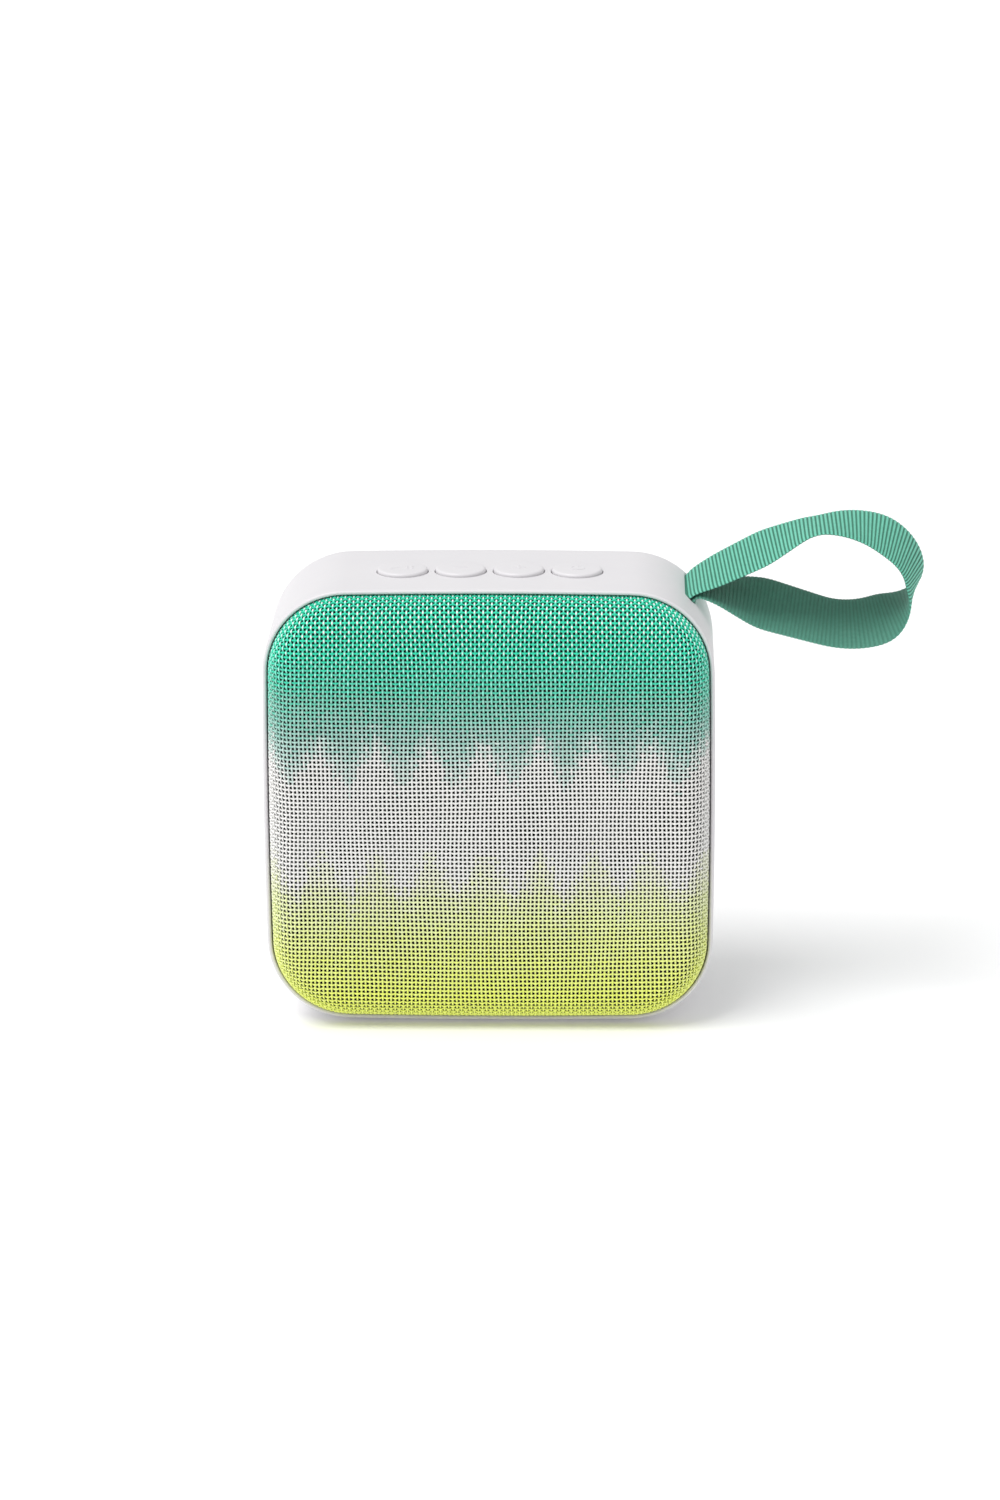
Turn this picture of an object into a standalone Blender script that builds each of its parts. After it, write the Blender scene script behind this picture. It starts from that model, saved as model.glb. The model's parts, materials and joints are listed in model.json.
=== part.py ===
"""A pocket Bluetooth speaker: a rounded-square shell with a padded fabric front, four round buttons on its
top and a webbing wrist loop in its top right corner. Lengths are metres, +Z is up, and the front faces -Y.

The origin is the centre of the rubber foot's underside, so the speaker stands on the plane z = 0. The button
row and the foot lie over each other in the plane y = 0.
"""

import math

import bmesh
import bpy
from mathutils import Matrix, Vector

MM = 0.001

# ---- driving dimensions ----
SHELL_SIDE = 86 * MM  # width and height of the shell
SHELL_FRONT = -14 * MM  # y of the shell's front lip
SHELL_BACK = 24 * MM  # y of the shell's flat back
CORNER_RADIUS = 17 * MM
BACK_RADIUS = 10 * MM  # round from the four sides into the back
WALL = 2 * MM
FOOT_PROUD = 0.6 * MM  # the foot stands this far below the shell
GRILLE_FRONT = -19 * MM  # y of the fabric's front
LIP = 0.8 * MM  # thin rim of shell round the fabric
FABRIC = 0.8 * MM
REST_GAP = 0.1 * MM  # between pieces that touch on the real object

BUTTON_PITCH = 11.1 * MM
BUTTON_RADIUS = 4.8 * MM
BUTTON_PROUD = 0.7 * MM

DRIVER_SCREW_RADIUS = 27 * MM  # of the circle the driver's screws lie on
BAFFLE_FRONT = -11.2 * MM
BAFFLE_THICKNESS = 2 * MM

STRAP_WIDTH = 16 * MM
STRAP_PLY = 0.9 * MM
STRAP_Y = 6.5 * MM  # middle of the webbing's width
STRAP_ANGLE = math.radians(44)  # where the slot lies on the corner's arc, above the horizontal
SLOT_LENGTH = 16.6 * MM
SLOT_GAP = 2.3 * MM

# ---- derived places ----
BOTTOM = FOOT_PROUD
TOP = BOTTOM + SHELL_SIDE
MIDDLE = (BOTTOM + TOP) / 2
INNER_BACK = SHELL_BACK - WALL
BAFFLE_BACK = BAFFLE_FRONT + BAFFLE_THICKNESS
ARC_CENTRE = SHELL_SIDE / 2 - CORNER_RADIUS  # of a corner, from the middle of the shell
BUTTON_XS = [(i - 1.5) * BUTTON_PITCH for i in range(4)]
BUTTON_NAMES = ["play", "volume_down", "volume_up", "power"]
OUTWARD = Vector((math.cos(STRAP_ANGLE), 0, math.sin(STRAP_ANGLE)))  # out of the shell at the strap slot
SLOT = Vector((ARC_CENTRE, STRAP_Y, MIDDLE + ARC_CENTRE)) + OUTWARD * CORNER_RADIUS  # on the shell's surface

WHITE = (0.80, 0.79, 0.81)
BLACK = (0.02, 0.02, 0.022)
STEEL = (0.55, 0.55, 0.56)

for leftover in list(bpy.data.objects):
    bpy.data.objects.remove(leftover)
PARTS = bpy.data.collections.new("bluetooth_speaker")
CUTTERS = bpy.data.collections.new("cutters")
for collection in (PARTS, CUTTERS):
    bpy.context.scene.collection.children.link(collection)


# ---- tools ----
def material(name, colour, roughness, metallic=0.0):
    made = bpy.data.materials.get(name) or bpy.data.materials.new(name)
    made.use_nodes = True
    surface = made.node_tree.nodes["Principled BSDF"]
    surface.inputs["Base Color"].default_value = (*colour, 1)
    surface.inputs["Roughness"].default_value = roughness
    surface.inputs["Metallic"].default_value = metallic
    return made


def add(name, data, made_of=None, place=(0, 0, 0)):
    """A new object in the parts' collection, or in the cutters' if it has no material."""
    obj = bpy.data.objects.new(name, data)
    obj.location = place
    if made_of is None:
        CUTTERS.objects.link(obj)
        obj.hide_render = True
        obj.display_type = "WIRE"
    else:
        PARTS.objects.link(obj)
        data.materials.append(made_of)
    return obj


def mesh_from(work, name, smooth_angle=40):
    mesh = bpy.data.meshes.new(name)
    work.to_mesh(mesh)
    work.free()
    mesh.shade_smooth()
    mesh.set_sharp_from_angle(angle=math.radians(smooth_angle))
    return mesh


def box(name, size, centre, made_of=None, edge=0.0, turn=0.0):
    """A box with its edges rounded by edge, turned about Y."""
    work = bmesh.new()
    bmesh.ops.create_cube(work, size=1, matrix=Matrix.Diagonal((*size, 1)))
    if edge:
        bmesh.ops.bevel(work, geom=work.edges[:], offset=edge, segments=2, profile=0.5, affect="EDGES")
    obj = add(name, mesh_from(work, name), made_of, centre)
    obj.rotation_euler.y = turn
    return obj


AXIS_TURNS = {"X": (0, math.pi / 2, 0), "Y": (math.pi / 2, 0, 0), "Z": (0, 0, 0)}


def rod(name, radius, length, centre, axis, made_of=None, sides=20):
    """A plain cylinder along an axis."""
    work = bmesh.new()
    bmesh.ops.create_cone(
        work, cap_ends=True, segments=sides, radius1=radius, radius2=radius, depth=length
    )
    obj = add(name, mesh_from(work, name), made_of, centre)
    obj.rotation_euler = AXIS_TURNS[axis]
    return obj


def turned(name, profile, centre, axis, made_of, steps=32):
    """A profile of (radius, height) points screwed round an axis. It runs down its outer side. A profile that
    doesn't start on the axis is closed into a ring. Height runs along +Z, or towards the front, -Y."""
    work = bmesh.new()
    points = [work.verts.new((radius, 0, height)) for radius, height in profile]
    for first, second in zip(points, points[1:]):
        work.edges.new((first, second))
    if profile[0][0] > 0:
        work.edges.new((points[-1], points[0]))
    mesh = bpy.data.meshes.new(name)
    work.to_mesh(mesh)
    work.free()
    obj = add(name, mesh, made_of, centre)
    obj.rotation_euler = AXIS_TURNS[axis]
    screw = obj.modifiers.new("turn", "SCREW")
    screw.axis = "Z"
    screw.steps = screw.render_steps = steps
    screw.use_merge_vertices = True
    screw.merge_threshold = 1e-6
    screw.use_smooth_shade = False
    return obj


def circle(radius, centre=(0, 0), points=32):
    turns = [2 * math.pi * i / points for i in range(points)]
    return [(centre[0] + radius * math.cos(t), centre[1] + radius * math.sin(t)) for t in turns]


def rectangle(width, height, centre=(0, 0)):
    corners = [(-0.5, -0.5), (0.5, -0.5), (0.5, 0.5), (-0.5, 0.5)]
    return [(centre[0] + width * u, centre[1] + height * v) for u, v in corners]


def rounded_square(half, radius, arc_points=9):
    """The shell's kind of outline, about the origin."""
    outline = []
    for quarter in range(4):
        start = quarter * math.pi / 2
        middle = start + math.pi / 4
        reach = (half - radius) * math.sqrt(2)
        centre = (reach * math.cos(middle), reach * math.sin(middle))
        for i in range(arc_points):
            turn = start + i * math.pi / 2 / (arc_points - 1)
            outline.append((centre[0] + radius * math.cos(turn), centre[1] + radius * math.sin(turn)))
    return outline


def plate(name, outlines, front, thickness, made_of=None, middle=(0, MIDDLE)):
    """A flat plate facing the front. The first outline is its edge and the others are holes."""
    curve = bpy.data.curves.new(name, "CURVE")
    curve.dimensions = "2D"
    curve.fill_mode = "BOTH"
    curve.extrude = thickness / 2
    for outline in outlines:
        spline = curve.splines.new("POLY")
        spline.points.add(len(outline) - 1)
        for point, (u, v) in zip(spline.points, outline):
            point.co = (u, v, 0, 1)
        spline.use_cyclic_u = True
    obj = add(name, curve, made_of, (middle[0], front + thickness / 2, middle[1]))
    obj.rotation_euler = AXIS_TURNS["Y"]
    return obj


def as_mesh(obj):
    """The same piece as a mesh, with its loose caps welded, so that Booleans can use it."""
    bpy.context.view_layer.update()
    evaluated = obj.evaluated_get(bpy.context.evaluated_depsgraph_get())
    mesh = bpy.data.meshes.new_from_object(evaluated)
    work = bmesh.new()
    work.from_mesh(mesh)
    bmesh.ops.remove_doubles(work, verts=work.verts, dist=1e-6)
    bmesh.ops.recalc_face_normals(work, faces=work.faces)
    work.to_mesh(mesh)
    work.free()
    name, matrix, home = obj.name, obj.matrix_world.copy(), obj.users_collection[0]
    hidden = obj.hide_render
    bpy.data.objects.remove(obj)
    made = bpy.data.objects.new(name, mesh)
    home.objects.link(made)
    made.matrix_world = matrix
    made.hide_render = hidden
    made.display_type = "WIRE" if hidden else "TEXTURED"
    return made


def combine(obj, operation, others):
    for other in others:
        step = obj.modifiers.new(f"{operation.lower()} {other.name}", "BOOLEAN")
        step.operation = operation
        step.object = other
        step.solver = "EXACT"
    return obj


def cut(obj, *cutters):
    return combine(obj, "DIFFERENCE", cutters)


def join(obj, *helpers):
    return combine(obj, "UNION", helpers)


def runs_along(edge, axis):
    return abs((edge.verts[0].co - edge.verts[1].co).normalized()[axis]) > 0.9


def tub(name, half, open_y, closed_y, corner, edge, wall, made_of, arcs=8, edge_arcs=5):
    """A rounded-square tub, open at open_y. Its closed end has a rounded edge, and its wall is inward."""
    work = bmesh.new()
    depth = abs(closed_y - open_y)
    bmesh.ops.create_cube(work, size=1, matrix=Matrix.Diagonal((2 * half, depth, 2 * half, 1)))
    side = 1 if open_y > closed_y else -1
    open_face = [face for face in work.faces if face.normal.y * side > 0.9]
    bmesh.ops.delete(work, geom=open_face, context="FACES_ONLY")
    along = [line for line in work.edges if runs_along(line, 1)]
    bmesh.ops.bevel(work, geom=along, offset=corner, segments=arcs, profile=0.5, affect="EDGES")
    closed = -side * depth / 2
    rim = [
        line
        for line in work.edges
        if all(abs(vert.co.y - closed) < 1e-6 for vert in line.verts) and not line.is_boundary
    ]
    bmesh.ops.bevel(work, geom=rim, offset=edge, segments=edge_arcs, profile=0.5, affect="EDGES")
    bmesh.ops.recalc_face_normals(work, faces=work.faces)
    obj = add(name, mesh_from(work, name), made_of, (0, (open_y + closed_y) / 2, MIDDLE))
    thicken = obj.modifiers.new("wall", "SOLIDIFY")
    thicken.thickness = wall
    thicken.offset = -1
    thicken.use_even_offset = True
    return obj


def wire(name, points, radius, made_of):
    """A round wire through a few points, smoothed into gentle bends."""
    path = [Vector(point) for point in points]
    for _ in range(2):
        cut_corners = [path[0]]
        for first, second in zip(path, path[1:]):
            cut_corners += [first.lerp(second, 0.25), first.lerp(second, 0.75)]
        path = cut_corners + [path[-1]]
    curve = bpy.data.curves.new(name, "CURVE")
    curve.dimensions = "3D"
    curve.bevel_depth = radius
    curve.bevel_resolution = 1
    curve.use_fill_caps = True
    spline = curve.splines.new("POLY")
    spline.points.add(len(path) - 1)
    for point, place in zip(spline.points, path):
        point.co = (*place, 1)
    return add(name, curve, made_of)


# ---- materials ----
WHITE_PLASTIC = material("white_abs", WHITE, 0.45)
BLACK_PLASTIC = material("black_abs", BLACK, 0.5)
FABRIC_CLOTH = material("grille_fabric", (0.45, 0.62, 0.50), 0.8)
WEBBING = material("strap_webbing", (0.10, 0.42, 0.30), 0.7)
RUBBER = material("rubber", (0.03, 0.03, 0.032), 0.8)
FOAM = material("foam", (0.05, 0.05, 0.05), 0.95)
STAMPED_STEEL = material("stamped_steel", STEEL, 0.35, 1.0)
FERRITE = material("ferrite", (0.035, 0.035, 0.04), 0.6)
PAPER = material("cone_paper", (0.03, 0.03, 0.03), 0.9)
COPPER = material("copper", (0.72, 0.35, 0.18), 0.3, 1.0)
BOARD = material("circuit_board", (0.02, 0.16, 0.07), 0.4)
CHIP = material("chip_epoxy", (0.015, 0.015, 0.016), 0.45)
CELL_WRAP = material("cell_wrap", (0.05, 0.25, 0.55), 0.35)
CLEAR = material("light_pipe", (0.85, 0.88, 0.9), 0.1)
RED_WIRE = material("red_wire", (0.6, 0.03, 0.02), 0.5)
BLACK_WIRE = material("black_wire", (0.02, 0.02, 0.02), 0.5)

# ---- places that more than one piece uses ----
BOSS_RADIUS = 3.25 * MM
BOSS_REACH = 12.2 * MM  # from a corner's arc centre
BOSS_END = 18.5 * MM  # y where a boss runs out into the rounded back
BOSS_ANGLES = {"top": math.radians(75), "bottom": math.radians(29)}


def boss_places():
    """(x, z) of the four case screws. The top pair stands clear of the strap, the bottom pair of the cell."""
    for level, sign in (("top", 1), ("bottom", -1)):
        reach_x = ARC_CENTRE + BOSS_REACH * math.cos(BOSS_ANGLES[level])
        reach_z = ARC_CENTRE + BOSS_REACH * math.sin(BOSS_ANGLES[level])
        for side, mirror in (("left", -1), ("right", 1)):
            yield f"{level}_{side}", mirror * reach_x, MIDDLE + sign * reach_z


MAIN_BOARD_X = 30 * MM  # middle of the upright main board
BOARD_THICKNESS = 1.2 * MM
BOARD_INNER = MAIN_BOARD_X - BOARD_THICKNESS / 2
BOARD_SCREWS = {"lower": 27 * MM, "upper": 71 * MM}  # z; both at y = 0
BUTTON_BOARD_TOP = 78.4 * MM
BUTTON_BOARD_POST = (23.2 * MM, 4.3 * MM)  # x, y
PORTS = {  # z of what opens through the back, and x of its middle
    "aux": (32 * MM, 26.7 * MM),
    "usb": (43 * MM, 27.6 * MM),
    "led": (51 * MM, 28 * MM),
    "card": (60.5 * MM, 28.3 * MM),
    "microphone": (70 * MM, 27.2 * MM),
}
TAB_REACH = 34.5 * MM  # of the grille's four snap tabs from the middle
TAB_WIDTH = 6 * MM
TAB_THICKNESS = 1.4 * MM


def tab_places():
    for name, x, z in (("left", -1, 0), ("right", 1, 0), ("top", 0, 1), ("bottom", 0, -1)):
        yield name, x * TAB_REACH, z * TAB_REACH


# ---- casing ----
def rear_shell():
    shell = tub(
        "rear_shell", SHELL_SIDE / 2, SHELL_FRONT, SHELL_BACK, CORNER_RADIUS, BACK_RADIUS, WALL,
        WHITE_PLASTIC, arcs=10, edge_arcs=7,
    )
    bosses, pilots = [], []
    for place, x, z in boss_places():
        start = BAFFLE_BACK + REST_GAP
        middle = (x, (start + BOSS_END) / 2, z)
        bosses.append(rod(f"boss_{place}", BOSS_RADIUS, BOSS_END - start, middle, "Y"))
        pilots.append(rod(f"pilot_{place}", 1.3 * MM, 12 * MM, (x, start + 5 * MM, z), "Y", sides=12))
    for level, z in BOARD_SCREWS.items():
        reach = SHELL_SIDE / 2 - WALL / 2
        start = MAIN_BOARD_X + BOARD_THICKNESS / 2 + REST_GAP
        bosses.append(rod(f"board_boss_{level}", 2.5 * MM, reach - start, ((reach + start) / 2, 0, z), "X"))
        pilots.append(rod(f"board_pilot_{level}", 1.1 * MM, 8 * MM, (start + 3 * MM, 0, z), "X", sides=12))
    for side, mirror in (("left", -1), ("right", 1)):
        x, y = mirror * BUTTON_BOARD_POST[0], BUTTON_BOARD_POST[1]
        reach = TOP - WALL / 2
        shoulder = BUTTON_BOARD_TOP + REST_GAP
        end = BUTTON_BOARD_TOP - BOARD_THICKNESS - 0.4 * MM
        for part, radius, start in (("boss", 1.9 * MM, shoulder), ("post", 0.8 * MM, end)):
            middle = (x, y, (reach + start) / 2)
            bosses.append(rod(f"button_{part}_{side}", radius, reach - start, middle, "Z", sides=16))
    join(shell, *bosses)
    cut(shell, *pilots)

    lip_half = SHELL_SIDE / 2 - LIP
    rebate = as_mesh(
        plate("grille_rebate", [rounded_square(lip_half, CORNER_RADIUS - LIP)], SHELL_FRONT - 2 * MM, 5 * MM)
    )
    holes = [
        rod(f"button_hole_{name}", BUTTON_RADIUS + 0.15 * MM, 6 * MM, (x, 0, TOP), "Z", sides=32)
        for name, x in zip(BUTTON_NAMES, BUTTON_XS)
    ]
    slot = box(
        "strap_slot", (8 * MM, SLOT_LENGTH, SLOT_GAP), SLOT - OUTWARD * WALL / 2,
        edge=0.6 * MM, turn=-STRAP_ANGLE,
    )
    usb_z, usb_x = PORTS["usb"]
    card_z, card_x = PORTS["card"]
    through = 4 * WALL
    ports = [
        box("usb_opening", (3.8 * MM, through, 9.6 * MM), (usb_x, SHELL_BACK, usb_z), edge=1.2 * MM),
        box("card_opening", (1.8 * MM, through, 12.6 * MM), (card_x, SHELL_BACK, card_z), edge=0.4 * MM),
    ]
    for port, radius in (("aux", 3.1 * MM), ("led", 1.1 * MM), ("microphone", 0.6 * MM)):
        z, x = PORTS[port]
        ports.append(rod(f"{port}_opening", radius, through, (x, SHELL_BACK, z), "Y"))
    recess = foot_outline("foot_recess", 2 * MM, BOTTOM - 0.8 * MM, 0.2 * MM)
    return cut(shell, rebate, *holes, slot, *ports, recess)


def foot_outline(name, height, base, grow, made_of=None):
    """An upright slab with round ends, which is the foot's shape and, grown a little, its recess."""
    width, depth = 56 * MM + 2 * grow, 16 * MM + 2 * grow
    work = bmesh.new()
    bmesh.ops.create_cube(work, size=1, matrix=Matrix.Diagonal((width, depth, height, 1)))
    upright = [line for line in work.edges if runs_along(line, 2)]
    bmesh.ops.bevel(
        work, geom=upright, offset=depth / 2 * 0.98, segments=6, profile=0.5, affect="EDGES"
    )
    return add(name, mesh_from(work, name), made_of, (0, 0, base + height / 2))


def foot_pad():
    foot_outline("foot_pad", 1.1 * MM, 0, 0, RUBBER)


def front_baffle():
    """The inner plate that carries the driver. Four screws hold it to the shell's bosses."""
    half = SHELL_SIDE / 2 - WALL - 0.4 * MM
    holes = [circle(24.8 * MM)]
    holes += [circle(1.3 * MM, (x, z - MIDDLE), 12) for _, x, z in boss_places()]
    holes += [circle(1.2 * MM, place, 12) for place in driver_screw_places()]
    for name, x, z in tab_places():
        size = (TAB_THICKNESS + 1.6 * MM, TAB_WIDTH + 0.8 * MM)
        holes.append(rectangle(*(size if x else size[::-1]), (x, z)))
    outlines = [rounded_square(half, CORNER_RADIUS - WALL - 0.4 * MM)] + holes
    plate("front_baffle", outlines, BAFFLE_FRONT, BAFFLE_THICKNESS, BLACK_PLASTIC)


def grille_frame():
    """The open-work tray behind the fabric, with four snap tabs that reach through the baffle."""
    inset = LIP + 0.2 * MM + FABRIC + 0.2 * MM
    front = GRILLE_FRONT + FABRIC + 0.2 * MM
    rear = BAFFLE_FRONT - 0.3 * MM
    frame = tub(
        "grille_frame", SHELL_SIDE / 2 - inset, rear, front, CORNER_RADIUS - inset, 4 * MM, 1.4 * MM,
        BLACK_PLASTIC, arcs=6, edge_arcs=4,
    )
    tabs, slots = [], []
    barb_back = BAFFLE_BACK + 0.9 * MM
    for name, x, z in tab_places():
        wide = (TAB_THICKNESS, TAB_WIDTH) if x else (TAB_WIDTH, TAB_THICKNESS)
        length = barb_back - front - 0.7 * MM
        middle = (x, (barb_back + front + 0.7 * MM) / 2, MIDDLE + z)
        tabs.append(box(f"snap_tab_{name}", (wide[0], length, wide[1]), middle))
    notches = [
        rod(f"screw_notch_{place}", 2.5 * MM, 2 * 1.5 * MM, (x, BAFFLE_FRONT, z), "Y", sides=16)
        for place, x, z in boss_places()
    ]
    rows, columns = 11, 3
    row_pitch, column_pitch = 6 * MM, 22 * MM
    for row in range(rows):
        for column in range(columns):
            x = (column - (columns - 1) / 2) * column_pitch
            z = MIDDLE + (row - (rows - 1) / 2) * row_pitch
            if min(abs(x - tab_x) + abs(z - MIDDLE - tab_z) for _, tab_x, tab_z in tab_places()) < 6 * MM:
                continue
            slots.append(box(f"slot_{row}_{column}", (19 * MM, 4 * MM, 3.6 * MM), (x, front, z)))
    join(frame, *tabs)
    cut(frame, *slots, *notches)


def grille_fabric():
    """The cloth stretched over the frame. Its turned edge runs down into the shell's rebate."""
    inset = LIP + 0.2 * MM
    rear = BAFFLE_FRONT - 0.2 * MM
    tub(
        "grille_fabric", SHELL_SIDE / 2 - inset, rear, GRILLE_FRONT, CORNER_RADIUS - inset, 5 * MM, FABRIC,
        FABRIC_CLOTH, arcs=8, edge_arcs=5,
    )


def screw(name, head, direction, shaft, made_of=STAMPED_STEEL, head_radius=2.1 * MM, shaft_radius=1 * MM):
    """A pan-head screw. head is the middle of the head's underside, and direction points to its tip."""
    profile = [
        (0, 1.2 * MM),
        (head_radius * 0.7, 1.1 * MM),
        (head_radius, 0.5 * MM),
        (head_radius, 0),
        (shaft_radius, 0),
        (shaft_radius, -shaft + 0.8 * MM),
        (0, -shaft),
    ]
    obj = turned(name, profile, head, "Z", made_of, steps=12)
    obj.rotation_euler = (-Vector(direction)).to_track_quat("Z", "Y").to_euler()


def case_screws():
    for place, x, z in boss_places():
        screw(f"case_screw_{place}", (x, BAFFLE_FRONT - REST_GAP, z), (0, 1, 0), 9 * MM)


# ---- driver ----
def driver_screw_places():
    reach = DRIVER_SCREW_RADIUS / math.sqrt(2)
    return [(x * reach, z * reach) for x in (-1, 1) for z in (-1, 1)]


FLANGE_BACK = BAFFLE_FRONT - 0.7 * MM
FLANGE = 0.8 * MM
DRIVER_Y = BAFFLE_FRONT + 8.2 * MM
DRIVER = (0, DRIVER_Y, MIDDLE)  # on the driver's axis; profiles give heights towards the front from here


def driver_part(name, profile, made_of, steps=32):
    return turned(name, [(r * MM, h * MM) for r, h in profile], DRIVER, "Y", made_of, steps)


def driver_basket():
    """The stamped steel frame, with four windows between its legs."""
    back = (DRIVER_Y - FLANGE_BACK) / MM
    flange = back + FLANGE / MM
    profile = [
        (23.4, flange), (29, flange), (29, back), (24.4, back), (18.3, -2.3),
        (8.8, -2.3), (8.8, -1.5), (17.5, -1.5), (23.4, back),
    ]
    basket = driver_part("driver_basket", profile, STAMPED_STEEL)
    cutters = [
        rod(f"basket_hole_{i}", 1.3 * MM, 6 * MM, (x, FLANGE_BACK, MIDDLE + z), "Y", sides=12)
        for i, (x, z) in enumerate(driver_screw_places())
    ]
    for name, size in (("across", (60, 4.6, 14)), ("upright", (14, 4.6, 60))):
        cutters.append(box(f"window_{name}", [side * MM for side in size], (0, DRIVER_Y - 3.6 * MM, MIDDLE)))
    cut(basket, *cutters)


def driver_gasket():
    holes = [circle(1.4 * MM, place, 12) for place in driver_screw_places()]
    outlines = [circle(28.8 * MM), circle(24.9 * MM)] + holes
    plate("driver_gasket", outlines, FLANGE_BACK + REST_GAP, 0.5 * MM, FOAM)


def driver_screws():
    corners = ("lower_left", "upper_left", "lower_right", "upper_right")
    for (x, z), place in zip(driver_screw_places(), corners):
        head = (x, FLANGE_BACK - FLANGE - REST_GAP, MIDDLE + z)
        screw(f"driver_screw_{place}", head, (0, 1, 0), 5.5 * MM, head_radius=1.9 * MM)


def driver_motor():
    """Top plate, ring magnet and yoke. The voice coil's gap lies between the plate and the pole."""
    driver_part("driver_top_plate", [(7.7, -2.4), (15.5, -2.4), (15.5, -4.9), (7.7, -4.9)], STAMPED_STEEL)
    driver_part("driver_magnet", [(9.5, -5), (16, -5), (16, -11), (9.5, -11)], FERRITE)
    yoke = [(0, -2.2), (6.2, -2.2), (6.2, -11.1), (15.5, -11.1), (15.5, -13.6), (0, -13.6)]
    driver_part("driver_yoke", yoke, STAMPED_STEEL)


def driver_surround():
    """A half-roll of rubber from the cone's rim to the flange."""
    base, roll, thickness = 9.8, 2.0, 0.5
    middle, outer = 22.2, 1.8
    inner = outer - thickness
    inner_lip, outer_lip = 19.4, 24.9
    arcs = 6
    turns = [math.pi * i / arcs for i in range(arcs + 1)]
    over = [(middle - outer * math.cos(t), base + roll * math.sin(t)) for t in turns]
    under = [(middle + inner * math.cos(t), base - thickness + roll * math.sin(t)) for t in turns]
    profile = [(inner_lip, base - 0.6)] + over + [(outer_lip, base + 0.4), (outer_lip, base)]
    profile += [(middle + inner, base)] + under[1:] + [(inner_lip, base - 1.1)]
    driver_part("driver_surround", profile, RUBBER)


def driver_spider():
    """The corrugated disc that centres the voice coil."""
    first, last, thickness, waves = 7.9, 19, 0.4, 3
    count = 4 * waves
    radii = [first + (last - first) * i / count for i in range(count + 1)]
    face = [(r, 3.3 - 0.6 * i / count + 0.5 * math.sin(i * math.pi / 2)) for i, r in enumerate(radii)]
    driver_part("driver_spider", face + [(r, h - thickness) for r, h in reversed(face)], FOAM)


def cone_assembly():
    """What moves to make sound: cone, dust cap and voice coil."""
    driver_part("driver_cone", [(7.6, 4.6), (20, 8.6), (20, 8.1), (7.6, 4.1)], PAPER)
    cap_radius, cap_base, cap_rise = 7.3, 5.2, 2.4
    arcs = 5
    turns = [math.pi / 2 * i / arcs for i in range(arcs + 1)]
    dome = [(cap_radius * math.sin(t), cap_base + cap_rise * math.cos(t)) for t in turns]
    inside = [(max(r - 0.4, 0), h - 0.4) for r, h in reversed(dome)]
    inside[-1] = (0, inside[-1][1])
    driver_part("driver_dust_cap", dome + inside, PAPER)
    coil = [(6.6, 4.5), (6.85, 4.5), (6.85, -2.0), (7.3, -2.0), (7.3, -5.4), (6.6, -5.4)]
    driver_part("driver_voice_coil", coil, COPPER)


def driver_terminal():
    box("driver_terminal", (9 * MM, 1.2 * MM, 5 * MM), (0, DRIVER_Y + 3.2 * MM, MIDDLE + 20 * MM), BOARD)


# ---- buttons ----
def buttons():
    """Four caps, each over a tactile switch whose plunger it presses."""
    for name, x in zip(BUTTON_NAMES, BUTTON_XS):
        r, proud = BUTTON_RADIUS, BUTTON_PROUD
        flange_top, flange_bottom, foot = -WALL - 0.4 * MM, -WALL - 1.1 * MM, -WALL - 1.65 * MM
        cap = [
            (0, proud), (r - 0.8 * MM, proud), (r - 0.25 * MM, proud - 0.1 * MM), (r, proud - 0.4 * MM),
            (r, flange_top), (r + 0.5 * MM, flange_top), (r + 0.5 * MM, flange_bottom),
            (1.5 * MM, flange_bottom), (1.5 * MM, foot), (0, foot),
        ]
        turned(f"{name}_button", cap, (x, 0, TOP), "Z", WHITE_PLASTIC)
        plunger_top, floor = TOP + foot - 0.15 * MM, BUTTON_BOARD_TOP + REST_GAP
        body_height = plunger_top - 0.9 * MM - floor
        size, middle = (6 * MM, 6 * MM, body_height), (x, 0, floor + body_height / 2)
        body = box(f"{name}_switch", size, middle, CHIP, edge=0.2 * MM)
        cut(body, rod(f"{name}_plunger_bore", 1.9 * MM, 3 * MM, (x, 0, plunger_top - 0.7 * MM), "Z"))
        rod(f"{name}_switch_plunger", 1.7 * MM, 1.5 * MM, (x, 0, plunger_top - 0.75 * MM), "Z", BLACK_PLASTIC)


def button_board():
    """The circuit board under the buttons, staked on two of the shell's posts."""
    middle_y, depth = 1 * MM, 12 * MM
    centre = (0, middle_y, BUTTON_BOARD_TOP - BOARD_THICKNESS / 2)
    board = box("button_board", (50 * MM, depth, BOARD_THICKNESS), centre, BOARD)
    holes = []
    for side, mirror in (("left", -1), ("right", 1)):
        x, y = mirror * BUTTON_BOARD_POST[0], BUTTON_BOARD_POST[1]
        holes.append(rod(f"button_board_hole_{side}", 1 * MM, 4 * MM, (x, y, centre[2]), "Z", sides=12))
    cut(board, *holes)


# ---- electronics ----
def main_board():
    y_front, y_back, z_low, z_high = -4 * MM, 20.6 * MM, 24 * MM, 74 * MM
    size = (BOARD_THICKNESS, y_back - y_front, z_high - z_low)
    board = box("main_board", size, (MAIN_BOARD_X, (y_front + y_back) / 2, (z_low + z_high) / 2), BOARD)
    holes = []
    for level, z in BOARD_SCREWS.items():
        holes.append(rod(f"main_board_hole_{level}", 1.2 * MM, 4 * MM, (MAIN_BOARD_X, 0, z), "X", sides=12))
        head = (BOARD_INNER - REST_GAP, 0, z)
        name = f"main_board_screw_{level}"
        screw(name, head, (1, 0, 0), 6 * MM, head_radius=1.9 * MM, shaft_radius=0.9 * MM)
    cut(board, *holes)


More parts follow.
